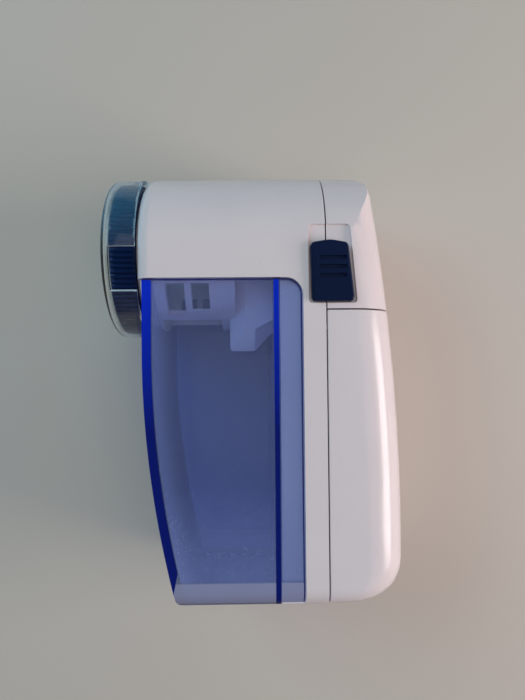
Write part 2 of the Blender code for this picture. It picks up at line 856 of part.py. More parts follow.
def slot_wedge(name, start):
    """A sector that cuts one slot through the cap's skirt, from an angle below the axis level."""
    inner, outer = CAP_R - CAP_WALL - 0.0004, CAP_R + 0.002
    angles = [start + CAP_SLOT_DEG * i / 4 for i in range(5)]
    spot = (AXIS_Y, MID_Z)

    def at(radius, degrees):
        angle = math.radians(degrees)
        # Zero degrees points at +Z, and the sector runs towards -Y.
        return (spot[0] - radius * math.sin(angle), spot[1] + radius * math.cos(angle))

    outline = [at(inner, a) for a in angles] + [at(outer, a) for a in reversed(angles)]
    return prism(name, outline, "X", RING_FRONT_X + 0.0003, RING_BACK_X + 0.001)


def make_guard_ring():
    outline = []
    step = 2 * math.pi / RING_RIDGES
    for k in range(RING_RIDGES):
        for share, radius in ((0.0, RING_R - RIDGE_DEPTH), (0.5, RING_R)):
            angle = (k + share) * step
            outline.append((AXIS_Y + radius * math.cos(angle), MID_Z + radius * math.sin(angle)))
    ring = prism("guard_ring", outline, "X", RING_FRONT_X, RING_BACK_X)
    cut(
        ring,
        axis_cylinder("ring_bore", RING_LIP_BACK_X, RING_BACK_X + 0.001, RING_BORE),
        axis_cylinder("ring_mouth", RING_FRONT_X - 0.001, RING_BACK_X, RING_LIP_R),
    )
    finish(ring, NAVY)
    return ring


def make_foil():
    back = FOIL_FRONT_X + FOIL_THICK
    foil = turned(
        "foil_screen",
        [(back, 0.0), (back, FOIL_R), (FOIL_FRONT_X, FOIL_R), (FOIL_FRONT_X, 0.0)],
        48,
    )
    finish(foil, STEEL)
    clamp = turned(
        "foil_clamp_ring",
        [
            (CLAMP_BACK_X, CLAMP_BORE),
            (CLAMP_BACK_X, FOIL_R),
            (CLAMP_FRONT_X, FOIL_R),
            (CLAMP_FRONT_X, CLAMP_BORE),
        ],
        48,
    )
    finish(clamp, BLACK)
    return [foil, clamp]


def on_head(obj, degrees):
    """Turns an object about the motor axis."""
    spin = Matrix.Translation(AXIS) @ Matrix.Rotation(math.radians(degrees), 4, "X")
    obj.matrix_world = spin @ Matrix.Translation(-AXIS) @ obj.matrix_world
    return obj


def make_rotor():
    """The turning stack: blade carrier, blades, screw, spring and drive sleeve."""
    hub = turned(
        "blade_hub",
        [
            (-0.0255, HUB_BORE),
            (-0.0255, HUB_R),
            (HUB_FRONT_X, HUB_R),
            (HUB_FRONT_X, 0.0013),
            (-0.0298, 0.0013),
            (-0.0298, HUB_BORE),
        ],
        36,
    )
    blades = []
    for k in range(BLADES):
        turn = 360 * k / BLADES
        arm = box(
            f"arm_{k}",
            (HUB_FRONT_X, AXIS_Y + 0.0045, MID_Z - 0.0017),
            (-0.0294, AXIS_Y + 0.0147, MID_Z + 0.0017),
        )
        join(hub, on_head(arm, turn))
    for k in range(BLADES):
        turn = 360 * k / BLADES
        groove = box(
            f"arm_groove_{k}",
            (HUB_FRONT_X - 0.001, AXIS_Y + BLADE_INNER_R - GAP, MID_Z - 0.0005),
            (BLADE_BACK_X + 0.0002, AXIS_Y + 0.016, MID_Z + 0.0005),
        )
        cut(hub, on_head(groove, turn))
        blade = prism(
            f"blade_{k + 1}",
            [
                (BLADE_BACK_X, AXIS_Y + BLADE_INNER_R),
                (BLADE_BACK_X, AXIS_Y + BLADE_OUTER_R),
                (BLADE_FRONT_X + 0.0006, AXIS_Y + BLADE_OUTER_R),
                (BLADE_FRONT_X, AXIS_Y + BLADE_OUTER_R - 0.0008),
                (BLADE_FRONT_X, AXIS_Y + BLADE_INNER_R + 0.0008),
                (BLADE_FRONT_X + 0.0006, AXIS_Y + BLADE_INNER_R),
            ],
            "Z",
            MID_Z - BLADE_THICK / 2,
            MID_Z + BLADE_THICK / 2,
        )
        blades.append(finish(on_head(blade, turn), STEEL))
    finish(hub, BLACK)
    sleeve = turned(
        "drive_sleeve",
        [
            (SLEEVE_BACK_X, SHAFT_R + 0.0001),
            (SLEEVE_BACK_X, 0.0054),
            (SLEEVE_BACK_X - 0.0014, 0.0054),
            (SLEEVE_BACK_X - 0.0014, SLEEVE_R),
            (SLEEVE_FRONT_X, SLEEVE_R),
            (SLEEVE_FRONT_X, 0.00095),
            (-0.0240, 0.00095),
            (-0.0240, SHAFT_R + 0.0001),
        ],
        36,
    )
    finish(sleeve, BLACK)
    screw = turned(
        "blade_screw",
        [
            (-0.0246, 0.0),
            (-0.0246, 0.0008),
            (-0.0311, 0.0008),
            (-0.0311, 0.0022),
            (-0.0321, 0.0022),
            (-0.0324, 0.0018),
            (-0.0324, 0.0),
        ],
        24,
    )
    cut(screw, box(
        "blade_screw_slot",
        (-0.0330, AXIS_Y - 0.003, MID_Z - 0.0003),
        (-0.0319, AXIS_Y + 0.003, MID_Z + 0.0003),
    ))
    finish(screw, STEEL)
    turns, per_turn = 3, 12
    coil = []
    for i in range(turns * per_turn + 1):
        angle = 2 * math.pi * i / per_turn
        x = -0.0251 + 0.0053 * i / (turns * per_turn)
        coil.append((x, AXIS_Y + 0.0044 * math.cos(angle), MID_Z + 0.0044 * math.sin(angle)))
    spring = finish(tube("blade_spring", coil, 0.00028, 1), STEEL)
    return [hub, *blades], [sleeve, screw, spring]


# ---------------------------------------------------------------- motor


def flat_round(radius, half_z, steps=10):
    """Y-Z outline of a circle with flats towards +Z and -Z."""
    limit = math.degrees(math.asin(half_z / radius))
    right = arc((AXIS_Y, MID_Z), radius, -limit, limit, steps)
    left = arc((AXIS_Y, MID_Z), radius, 180 - limit, 180 + limit, steps)
    return [*right, *left]


def make_motor():
    can = prism("motor_can", flat_round(MOTOR_R, MOTOR_HALF_Z), "X", MOTOR_FRONT_X, MOTOR_BACK_X)
    bevel(can, 0.0005, 2, 60)
    join(can, axis_cylinder("can_boss", -0.0058, MOTOR_FRONT_X + 0.0004, 0.0030, 32))
    inside = flat_round(MOTOR_R - MOTOR_WALL, MOTOR_HALF_Z - MOTOR_WALL)
    cut(
        can,
        prism("can_hollow", inside, "X", MOTOR_FRONT_X + MOTOR_WALL, MOTOR_BACK_X + 0.001),
        axis_cylinder("can_boss_hole", -0.008, 0.0, 0.0022, 24),
    )
    for side in (-1, 1):
        hole_y = AXIS_Y + side * MOTOR_SCREW_OFFSET
        cut(can, cylinder(f"can_screw_hole_{side}", -0.006, -0.001, 0.0010, hole_y, MID_Z, 16))
    finish(can, STEEL)

    bush = turned(
        "motor_bush",
        [(-0.0028, 0.0011), (-0.0028, 0.0021), (-0.0056, 0.0021), (-0.0056, 0.0011)],
        24,
    )
    finish(bush, BRASS)

    end_cap = prism(
        "motor_end_cap",
        flat_round(MOTOR_R - 0.0002, MOTOR_HALF_Z - 0.0002),
        "X",
        MOTOR_BACK_X + GAP,
        END_CAP_BACK_X - 0.0012,
    )
    join(end_cap, axis_cylinder("end_boss", 0.017, END_CAP_BACK_X, 0.0035, 32))
    cut(end_cap, axis_cylinder("end_bore", 0.010, 0.030, SHAFT_R + 0.0002, 24))
    for k, side in enumerate((1, -1)):
        low_y = AXIS_Y + side * 0.0066
        cut(
            end_cap,
            box(
                f"terminal_slot_{k}",
                (0.0150, low_y - 0.0006, MID_Z - 0.0014),
                (0.0210, low_y + 0.0006, MID_Z + 0.0014),
            ),
        )
        terminal = box(
            f"motor_terminal_{k + 1}",
            (0.0160, low_y - 0.0002, MID_Z - 0.0010),
            (0.0232, low_y + 0.0002, MID_Z + 0.0010),
        )
        cut(
            terminal,
            cylinder_y(f"terminal_eye_{k}", low_y - 0.002, low_y + 0.002, 0.0005, 0.0222, MID_Z, 12),
        )
        finish(terminal, BRASS)
    finish(end_cap, BLACK)

    for k, side in enumerate((1, -1)):
        centre = 0 if side == 1 else 180
        ring = [
            *arc((AXIS_Y, MID_Z), 0.0089, centre - 44, centre + 44, 10),
            *arc((AXIS_Y, MID_Z), 0.0070, centre + 44, centre - 44, 10),
        ]
        magnet = prism(f"motor_magnet_{k + 1}", ring, "X", -0.0022, 0.0128)
        finish(magnet, MAGNET)

    for k, side in enumerate((1, -1)):
        y = AXIS_Y + side * MOTOR_SCREW_OFFSET
        screw = make_screw(f"motor_screw_{k + 1}", -0.0065, y, MID_Z, 0.0016, 0.0008, 0.0010, 0.0028)
        finish(screw, STEEL)

    shaft = axis_cylinder("motor_shaft", SHAFT_FRONT_X, SHAFT_BACK_X, SHAFT_R, 24)
    finish(bevel(shaft, 0.0002, 1, 60), STEEL)
    armature = make_armature()
    return [shaft, armature]


def make_armature():
    """Three-pole wound core with its commutator behind it."""
    outline = []
    for k in range(3):
        centre = 120 * k
        outline += list(arc((AXIS_Y, MID_Z), 0.0063, centre - 47, centre + 47, 8))
        outline += list(arc((AXIS_Y, MID_Z), 0.0034, centre + 52, centre + 68, 2))
    core = prism("motor_armature", outline, "X", -0.0010, 0.0110)
    join(core, axis_cylinder("commutator", 0.0105, 0.0148, 0.0025, 24))
    cut(core, axis_cylinder("armature_bore", -0.003, 0.016, SHAFT_R + 0.0001, 24))
    return finish(core, COPPER)


def make_screw(name, seat_x, y, z, head_r, head, shank_r, length, along=1):
    """A slotted screw whose head stands on the -X side of seat_x, or the +X side."""
    low, high = sorted((seat_x, seat_x - along * head))
    screw = cylinder(name, low, high, head_r, y, z, 24)
    tip = seat_x + along * length
    low, high = sorted((seat_x - along * head / 2, tip))
    join(screw, cylinder(f"{name}_shank", low, high, shank_r - 0.0001, y, z, 16))
    top = seat_x - along * head
    low, high = sorted((top - along * 0.001, top + along * head * 0.45))
    slot = box(f"{name}_slot", (low, y - 2 * head_r, z - 0.00025), (high, y + 2 * head_r, z + 0.00025))
    return cut(screw, slot)


# ---------------------------------------------------------------- switch


def make_switch():
    outline = rounded(
        [
            (0.01375, SLIDER_BASE_Y, 0.0010),
            (0.0240, SLIDER_BASE_Y, 0.0010),
            (0.0225, SLIDER_TOP_Y, 0.0012),
            (0.0180, SLIDER_TOP_Y + SLIDER_CROWN, 0.008),
            (0.01345, SLIDER_TOP_Y, 0.0012),
        ],
        4,
    )
    slider = prism("switch_slider", outline, "Z", SLIDER_BOTTOM_Z, SLIDER_TOP_Z)
    bevel(slider, 0.0005, 3, 60)
    for k, y in enumerate(GROOVES_Y):
        groove = rounded(
            [
                (0.0155, y - 0.00045, 0.0004),
                (0.0221, y - 0.00045, 0.0004),
                (0.0221, y + 0.00045, 0.0004),
                (0.0155, y + 0.00045, 0.0004),
            ],
            3,
        )
        cut(slider, prism(f"groove_{k}", groove, "Z", SLIDER_TOP_Z - 0.0005, SLIDER_TOP_Z + 0.001))
    stem = box("stem", (STEM_X[0], STEM_Y[0], 0.0384), (STEM_X[1], STEM_Y[1], 0.0418))
    finish(join(slider, stem), NAVY)

    carrier = box("switch_carrier", (0.0179, 0.0210, 0.0383), (0.0223, 0.0300, 0.0398))
    join(
        carrier,
        box("prong_low", (0.0185, 0.0232, 0.0364), (0.0215, 0.0246, 0.0386)),
        box("prong_high", (0.0185, 0.0272, 0.0364), (0.0215, 0.0286, 0.0386)),
    )
    cut(
        carrier,
        box(
            "stem_hole",
            (STEM_X[0] - 0.0001, STEM_Y[0] - 0.0001, 0.037),
            (STEM_X[1] + 0.0001, STEM_Y[1] + 0.0001, 0.041),
        ),
    )
    finish(carrier, BLACK)

    nub = box("switch_nub", (0.0192, 0.0249, 0.0359), (0.0208, 0.0269, 0.0379))
    finish(bevel(nub, 0.0002, 1), BLACK)

    switch = box("slide_switch_body", (0.0180, 0.0200, 0.0316), (0.0221, 0.0340, 0.0356))
    finish(bevel(switch, 0.0003, 2), STEEL)
    for k, y in enumerate((0.0235, 0.0300)):
        pin = box(f"switch_terminal_{k + 1}", (0.0192, y - 0.0003, 0.0284), (0.0208, y + 0.0003, 0.0313))
        finish(pin, BRASS)
    return [slider, carrier, nub]


# ---------------------------------------------------------------- batteries and contacts


def make_battery_tray():
    tray = box(
        "battery_tray",
        (TRAY_PLATE_X[0], TRAY_END_Y[0], MID_Z - TRAY_HALF_Z),
        (0.0290, TRAY_END_Y[1], MID_Z + TRAY_HALF_Z),
    )
    cut(
        tray,
        box(
            "tray_hollow",
            (
                TRAY_PLATE_X[1],
                TRAY_END_Y[0] + TRAY_WALL,
                MID_Z - TRAY_HALF_Z + TRAY_WALL,
            ),
            (0.0300, TRAY_END_Y[1] - TRAY_WALL, MID_Z + TRAY_HALF_Z - TRAY_WALL),
        ),
        box(
            "tray_side_relief",
            (0.0225, TRAY_END_Y[0] + 0.006, -0.001),
            (0.0300, TRAY_END_Y[1] - 0.006, THICK + 0.001),
        ),
    )
    for name, (y, z) in TRAY_SCREWS.items():
        cut(tray, cylinder(f"{name}_hole", 0.010, 0.020, 0.0013, y, z, 16))
    for k, side in enumerate((-1, 1)):
        z = MID_Z + side * CELL_OFFSET_Z
        notch = box(f"lead_notch_{k}", (0.0185, 0.0090, z - 0.0012), (0.0205, 0.0130, z + 0.0012))
        cut(tray, notch)
    finish(tray, BLACK)


def make_cells():
    for k, (side, way) in enumerate(((-1, 1), (1, -1))):
        z = MID_Z + side * CELL_OFFSET_Z
        base = CELL_BASE_Y[k]
        cell = cylinder_y(f"battery_cell_{k + 1}", base, base + CELL_LENGTH, CELL_R, CELL_X, z, 28)
        bevel(cell, 0.0005, 1, 60)
        end = base + CELL_LENGTH if way == 1 else base
        low, high = sorted((end - way * 0.0005, end + way * NUB_LENGTH))
        join(cell, cylinder_y(f"cell_nub_{k}", low, high, NUB_R, CELL_X, z, 16))
        finish(cell, CELL)


def contact_plate(name, y, low_z, high_z):
    return box(
        name,
        (CELL_X - 0.0045, y - CONTACT_THICK / 2, low_z),
        (CELL_X + 0.0028, y + CONTACT_THICK / 2, high_z),
    )


def contact_coil(name, y, way, z, length):
    """A conical coil standing on a contact plate at y."""
    turns, per_turn = 3, 12
    points = []
    for i in range(turns * per_turn + 1):
        share = i / (turns * per_turn)
        angle = 2 * math.pi * i / per_turn
        radius = 0.0032 - 0.0012 * share
        points.append(
            (CELL_X + radius * math.cos(angle), y + way * length * share, z + radius * math.sin(angle))
        )
    return tube(name, points, 0.00028, 1)


def make_contacts():
    low_z, high_z = MID_Z - CELL_OFFSET_Z, MID_Z + CELL_OFFSET_Z
    top_y = TRAY_END_Y[1] - TRAY_WALL - 0.0006
    base_y = TRAY_END_Y[0] + TRAY_WALL + 0.0006

    button = contact_plate("button_contact", top_y, low_z - 0.0045, low_z + 0.0045)
    join(button, cylinder_y("button_dimple", top_y - 0.0011, top_y, 0.0010, CELL_X, low_z, 24, 0.0020))
    finish(button, STEEL)

    sprung = contact_plate("spring_contact", top_y, high_z - 0.0045, high_z + 0.0045)
    join(sprung, contact_coil("top_coil", top_y, -1, high_z, 0.0024))
    finish(sprung, STEEL)

    bridge = contact_plate("bridge_contact", base_y, low_z - 0.0045, high_z + 0.0045)
    join(
        bridge,
        contact_coil("base_coil", base_y, 1, low_z, 0.0034),
        cylinder_y("bridge_dimple", base_y, base_y + 0.0016, 0.0020, CELL_X, high_z, 24, 0.0010),
    )
    finish(bridge, STEEL)


def make_leads():
    for name, route in LEADS.items():
        lead = tube(name, smooth_route(route, 4), LEAD_R, 1)
        finish(lead, LEAD_RED if name == "lead_1" else LEAD_BLACK)


# ---------------------------------------------------------------- fasteners


def make_housing_screws():
    for name, (y, z) in TRAY_SCREWS.items():
        finish(
            make_screw(name, TRAY_PLATE_X[1] + GAP, y, z, 0.0023, 0.0013, 0.0010, 0.0070, -1), STEEL
        )
    y, z = HOUSING_SCREW
    screw = make_screw("housing_screw", HOUSING_SCREW_SEAT_X, y, z, 0.0020, 0.0014, 0.0011, 0.0140, -1)
    finish(screw, STEEL)


# ---------------------------------------------------------------- assembly


def on_axis(name, place, children, parent=None):
    """An empty on a joint's axis, which carries the pieces that move on it."""
    empty = bpy.data.objects.new(name, None)
    PARTS.objects.link(empty)
    empty.empty_display_size = 0.01
    empty.matrix_world = Matrix.Translation(place)
    bpy.context.view_layer.update()
    if parent:
        hang(empty, parent)
    for child in children:
        hang(child, empty)
    return empty


def hang(child, parent):
    bpy.context.view_layer.update()
    child.parent = parent
    child.matrix_parent_inverse = parent.matrix_world.inverted()


def build():
    make_front_housing()
    make_rear_cover()
    door = make_battery_door()
    container = make_lint_container()
    cap = make_clear_cap()
    ring = make_guard_ring()
    foil_pieces = make_foil()
    floating, turning = make_rotor()
    turning += make_motor()
    sliding = make_switch()
    make_battery_tray()
    make_cells()
    make_contacts()
    make_leads()
    make_housing_screws()

    head = on_axis("guard_axis", AXIS, [ring, *foil_pieces])
    on_axis("cap_axis", AXIS, [cap], head)
    rotor = on_axis("rotor_axis", AXIS, turning)
    on_axis("blade_axis", AXIS, floating, rotor)
    on_axis("switch_axis", (0.020, SLIDER_BASE_Y, THICK), sliding)
    on_axis("door_axis", (CELL_X, 0.0, MID_Z), [door])
    on_axis("container_axis", (0.0, 0.0, MID_Z), [container])


build()
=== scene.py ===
"""Looks of a battery fabric shaver that lies on its side under a soft light.

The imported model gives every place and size. This script makes the fine surfaces that the solids
leave out, gives every piece its material, and adds the floor, the lights and the camera.
"""

import json
import math

import bmesh
import bpy
from mathutils import Matrix, Vector


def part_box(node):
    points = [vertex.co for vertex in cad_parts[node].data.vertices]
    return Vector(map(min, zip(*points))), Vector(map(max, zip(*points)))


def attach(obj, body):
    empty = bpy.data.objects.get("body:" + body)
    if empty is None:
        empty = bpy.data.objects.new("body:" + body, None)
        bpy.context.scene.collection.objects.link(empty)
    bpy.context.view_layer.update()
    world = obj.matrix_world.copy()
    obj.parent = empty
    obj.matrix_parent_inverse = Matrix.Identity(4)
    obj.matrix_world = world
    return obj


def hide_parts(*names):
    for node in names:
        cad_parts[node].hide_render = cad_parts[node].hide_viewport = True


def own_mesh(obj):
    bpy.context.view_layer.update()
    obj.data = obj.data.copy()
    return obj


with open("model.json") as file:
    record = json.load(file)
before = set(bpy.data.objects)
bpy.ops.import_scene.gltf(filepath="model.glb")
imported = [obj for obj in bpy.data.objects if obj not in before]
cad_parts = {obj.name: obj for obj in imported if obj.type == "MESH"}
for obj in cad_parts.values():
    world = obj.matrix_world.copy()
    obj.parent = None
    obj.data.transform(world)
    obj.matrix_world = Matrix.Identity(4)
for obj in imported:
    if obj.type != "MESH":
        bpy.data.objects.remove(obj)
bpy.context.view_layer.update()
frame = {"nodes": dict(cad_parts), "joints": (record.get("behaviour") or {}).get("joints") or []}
NODES = frame["nodes"]

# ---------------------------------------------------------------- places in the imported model

# Read from the frame
AXIS = Vector(next(j["pos_m"] for j in frame["joints"] if j["name"] == "rotor_spin"))
AXIS.x = 0.0
MID_Z = AXIS.z
THICK = 2 * MID_Z
BIN_LOW, BIN_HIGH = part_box("lint_container")
BIN_BASE_Y = BIN_LOW.y

# The container's walls, openings, panel and studs
BIN_WALL = 0.0015
BIN_FRONT_WALL = 0.0022
BIN_BOW, BIN_BOW_Y = 2.2, AXIS.y - 0.02425
BIN_BACK_X, BIN_BACK_WALL = 0.0048, 0.0013
WING_CORNER = 0.0038
BASE_EDGE = 0.005
BASE_CORNER, HOLLOW_CORNER = 0.003, 0.002
COLLAR_R, COLLAR_DEPTH, COLLAR_STEPS = 0.0195, 0.004, 96
MOTOR_BLOCK_X = (0.0, 0.010)
MOTOR_BLOCK_Y, MOTOR_BLOCK_HALF_Z = AXIS.y - 0.0255, 0.0123
PANEL_DEPTH = 0.0005
PANEL_MARGIN, PANEL_HALF_Z = 0.0022, 0.0134
BUMP_COLUMNS, BUMP_ROWS = 5, 11
BUMP_PITCH_X, BUMP_PITCH_Z = 0.0035, 0.0024
BUMP_FIRST_X = -0.0137
BUMP_R = 0.0010
BUMP_HEIGHT = 0.00055
BUMP_SINK = 0.0001
BUMP_OVAL = (1.35, BUMP_HEIGHT / BUMP_R, 0.8)

# A place this near to a face of the hollow counts as on it
FACE_SLACK = 0.0003

# Limits that lie past the container, which its cutters reach
PAST_X = (-0.030, 0.020)
PAST_LOW_Y, PAST_TOP_Y, PAST_RIM_Y = -0.060, 0.030, 0.034

# ---------------------------------------------------------------- looks of the container

# Light that the plastic absorbs per metre, in red, green and blue
ABSORB = (330, 270, 125)
BIN_TINT, BIN_ROUGHNESS = (0.97, 0.98, 1.0), 0.06
BIN_SHADOW_TINT = (0.86, 0.90, 0.97)

# Film, dust and grit. A share is the part of the light that is scattered back
# FILM_LOW gives more scatter toward the base, and BESIDE_SHARE more just behind the front wall, so both
# places look lighter
FILM, FILM_LOW = 0.075, 0.26
BESIDE_SHARE, BESIDE_DEPTH = 0.15, 0.0050
DUST_SHARE, DUST_SHARE_LOW, DUST_SHARE_BASE = 0.06, 0.26, 0.45
DUST_COLOUR = (0.33, 0.39, 0.66)
GRIT_SHARE, GRIT_COLOUR = 0.16, (0.62, 0.65, 0.80)

# Painted glow of the walls seen edge-on, the painted dark outline, and the frosted base
EDGE_GLOW_SHARE = 0.80
EDGE_GLOW_DARK = (0.005, 0.014, 0.20)
EDGE_GLOW_BRIGHT = (0.005, 0.036, 0.76)
FRONT_FACING_X = -0.6
BACK_BLUR = 0.00008
OUTLINE, OUTLINE_SHADE_COLOUR = 0.00028, (0.022, 0.022, 0.15)
BASE_BAND, BASE_BAND_BLUR = 0.0068, 0.0004
BASE_SHARE, BASE_COLOUR = 0.80, (0.33, 0.345, 0.52)

# Painted highlights over the studs and the painted shade beside each of them
STUD_GLINT_SHARE, STUD_GLINT_COLOUR = 0.95, (0.90, 0.92, 0.98)
STUD_SHADE_SHARE, STUD_SHADE_COLOUR = 0.60, (0.06, 0.07, 0.26)
STUD_GLINT_RADIUS, STUD_SHADE, STUD_SHIFT = 0.00050, 0.00075, 0.0012
# The shading normal of the base's inner faces, tilted up toward the lamps so that they catch more light
STUD_FACING = (0.0, 0.40, 0.92)

# Heights above the container's base, from where to where a look changes
STRIP_TAPER = (0.0040, 0.0090)
BASE_DUST = (0.0020, 0.0030)
LOW_DUST = (0.004, 0.030)
LOW_FILM = (0.006, 0.028)

# Depths below the motor axis between which the painted glow of the edge strips goes from dark to bright
GLOW_DROP = (0.044, 0.010)

# ---------------------------------------------------------------- looks of the cap

CAP_TINT, CAP_ROUGHNESS = (0.98, 0.99, 0.99), 0.03
CAP_SHADOW_TINT = (0.93, 0.95, 0.96)
CAP_ABSORB = (18, 8, 6)
CUT_SHARE, CUT_COLOUR = 0.8, (0.85, 0.90, 0.92)

# Heights about the motor axis between which the painted teal reflection sets in
CAP_SHEEN_Y = (-0.002, 0.017)

# ---------------------------------------------------------------- node helpers


def node(tree, kind, inputs=None, **settings):
    """Adds a shader node. An input's value is a number, a colour or another node's socket."""
    made = tree.nodes.new("ShaderNode" + kind)
    for key, value in settings.items():
        setattr(made, key, value)
    for key, value in (inputs or {}).items():
        if isinstance(value, bpy.types.NodeSocket):
            tree.links.new(value, made.inputs[key])
        else:
            made.inputs[key].default_value = value
    return made


def rgba(colour):
    return (*colour, 1.0)


def blank(name):
    """A material with an empty node tree and its output node."""
    made = bpy.data.materials.new(name)
    made.use_nodes = True
    made.node_tree.nodes.clear()
    return made, made.node_tree, node(made.node_tree, "OutputMaterial")


def place(tree, stretch=(1, 1, 1)):
    """Coordinates fixed to the piece, stretched along its axes."""
    coordinates = node(tree, "TexCoord")
    mapping = node(tree, "Mapping", {"Vector": coordinates.outputs["Object"], "Scale": stretch})
    return mapping.outputs["Vector"]


def noise(tree, vector, scale, detail, roughness=0.5):
    inputs = {"Vector": vector, "Scale": scale, "Detail": detail, "Roughness": roughness}
    return node(tree, "TexNoise", inputs).outputs["Fac"]


def spread(tree, value, low, high, start=0.3, end=0.7):
    """Maps a value between start and end to the range between low and high."""
    inputs = {"Value": value, "From Min": start, "From Max": end, "To Min": low, "To Max": high}
    return node(tree, "MapRange", inputs).outputs["Result"]


def mix(tree, share, first, second):
    """Mixes two colours, each a socket or three numbers."""
    made = tree.nodes.new("ShaderNodeMix")
    made.data_type = "RGBA"
    sockets = (made.inputs["Factor"], made.inputs[6], made.inputs[7])
    for socket, value in zip(sockets, (share, first, second)):
        if isinstance(value, bpy.types.NodeSocket):
            tree.links.new(value, socket)
        else:
            socket.default_value = rgba(value)
    return made.outputs[2]


def maths(tree, operation, first, second=0.0):
    made = node(tree, "Math", {0: first, 1: second}, operation=operation)
    return made.outputs[0]


def specks(tree, vector, scale, size, share):
    """Sparse round specks: 1 inside a speck and 0 outside."""
    cells = node(tree, "TexVoronoi", {"Vector": vector, "Scale": scale})
    near = maths(tree, "LESS_THAN", cells.outputs["Distance"], size)
    chance = node(tree, "SeparateColor", {"Color": cells.outputs["Color"]}).outputs[0]
    return maths(tree, "MULTIPLY", near, maths(tree, "LESS_THAN", chance, share))


def bumped(tree, height, strength, distance):
    inputs = {"Height": height, "Strength": strength, "Distance": distance}
    return node(tree, "Bump", inputs).outputs["Normal"]


# ---------------------------------------------------------------- materials


def plastic(name, colour, shade, roughness, grain, dust=0.0, shine=0.5):
    """Moulded plastic: faint colour mottling, uneven gloss, a fine grain and a few dust specks."""
    made, tree, out = blank(name)
    vector = place(tree)
    base = mix(tree, spread(tree, noise(tree, vector, 70, 4), 0, 1), colour, shade)
    if dust:
        base = mix(tree, specks(tree, vector, 1100, 0.09, dust), base, (0.5, 0.47, 0.43))
    uneven = noise(tree, vector, 160, 3)
    fine = noise(tree, vector, 2200, 2)
    shader = node(
        tree,
        "BsdfPrincipled",
        {
            "Base Color": base,
            "Roughness": spread(tree, uneven, roughness * 0.85, roughness * 1.2),
            "Specular IOR Level": shine,
            "Normal": bumped(tree, fine, grain, 0.00002),
        },
    )
    tree.links.new(shader.outputs[0], out.inputs["Surface"])
    return made


def metal(name, colour, shade, roughness, stretch=(1, 1, 1), grain=0.2, scale=900):
    """Metal with fine lines or grains in its colour, gloss and surface."""
    made, tree, out = blank(name)
    vector = place(tree, stretch)
    lines = noise(tree, vector, scale, 3)
    base = mix(tree, spread(tree, noise(tree, place(tree), 110, 4), 0, 1), colour, shade)
    shader = node(
        tree,
        "BsdfPrincipled",
        {
            "Base Color": base,
            "Metallic": 1.0,
            "Roughness": spread(tree, lines, roughness * 0.75, roughness * 1.3),
            "Normal": bumped(tree, lines, grain, 0.00002),
        },
    )
    tree.links.new(shader.outputs[0], out.inputs["Surface"])
    return made


def clear_shader(tree, vector, tint, roughness):
    """Clear plastic with slightly uneven gloss and a faint ripple."""
    return node(
        tree,
        "BsdfPrincipled",
        {
            "Base Color": rgba(tint),
            "Roughness": spread(tree, noise(tree, vector, 220, 3), roughness * 0.6, roughness * 1.5),
            "Transmission Weight": 1.0,
            "IOR": 1.49,
            "Normal": bumped(tree, noise(tree, vector, 500, 2), 0.08, 0.00003),
        },
    ).outputs[0]


def lit_through(tree, surface, shadow_tint):
    """Lets rays from lamps pass straight through, so that what lies inside is lit."""
    through = node(tree, "BsdfTransparent", {"Color": rgba(shadow_tint)})
    path = node(tree, "LightPath")
    inputs = {0: path.outputs["Is Shadow Ray"], 1: surface, 2: through.outputs[0]}
    return node(tree, "MixShader", inputs).outputs[0]


def absorb_light(tree, out, per_metre):
    """Tints light by the thickness of the wall, with an absorption for each colour."""
    most = max(per_metre)
    colour = rgba([1 - value / most for value in per_metre])
    volume = node(tree, "VolumeAbsorption", {"Color": colour, "Density": most})
    tree.links.new(volume.outputs[0], out.inputs["Volume"])


def cap_plastic(name, painted_sheen_share, painted_sheen_colour):
    """Clear, nearly colourless plastic with a painted teal reflection that grows toward the top, and
    frosted where the slots are cut.
    """
    made, tree, out = blank(name)
    vector = place(tree)
    y = node(tree, "SeparateXYZ", {"Vector": vector}).outputs["Y"]
    glass = clear_shader(tree, vector, CAP_TINT, CAP_ROUGHNESS)
    # A painted reflection of bluish light, stronger toward the top of the cap
    lit = spread(tree, y, 0.0, painted_sheen_share, AXIS.y + CAP_SHEEN_Y[0], AXIS.y + CAP_SHEEN_Y[1])
    haze_and_painted_light = maths(tree, "MULTIPLY", lit, spread(tree, noise(tree, vector, 90, 5, 0.6), 0.8, 1.2))
    cut_face = node(tree, "Attribute", attribute_name="cut_face").outputs["Fac"]
    haze_and_painted_light = maths(tree, "MAXIMUM", haze_and_painted_light, maths(tree, "MULTIPLY", cut_face, CUT_SHARE))
    colour = mix(tree, cut_face, painted_sheen_colour, CUT_COLOUR)
    scatter = node(tree, "BsdfDiffuse", {"Color": colour}).outputs[0]
    hazed_with_painted_light = node(tree, "MixShader", {0: haze_and_painted_light, 1: glass, 2: scatter}).outputs[0]
    tree.links.new(lit_through(tree, hazed_with_painted_light, CAP_SHADOW_TINT), out.inputs["Surface"])
    absorb_light(tree, out, CAP_ABSORB)
    return made


def above_base(tree, y, low, high, heights):
    """Changes from low to high between two heights above the container's base."""
    return spread(tree, y, low, high, BIN_BASE_Y + heights[0], BIN_BASE_Y + heights[1])


def between(tree, value, low, high, soft):
    """1 where a value lies between two limits and 0 outside, with soft edges."""
    up = spread(tree, value, 0.0, 1.0, low - soft, low + soft)
    down = spread(tree, value, 1.0, 0.0, high - soft, high + soft)
    return maths(tree, "MULTIPLY", up, down)


def length(tree, first, second):
    """The length of a line with these two sides."""
    squares = maths(
        tree, "ADD", maths(tree, "MULTIPLY", first, first), maths(tree, "MULTIPLY", second, second)
    )
    return maths(tree, "SQRT", squares)


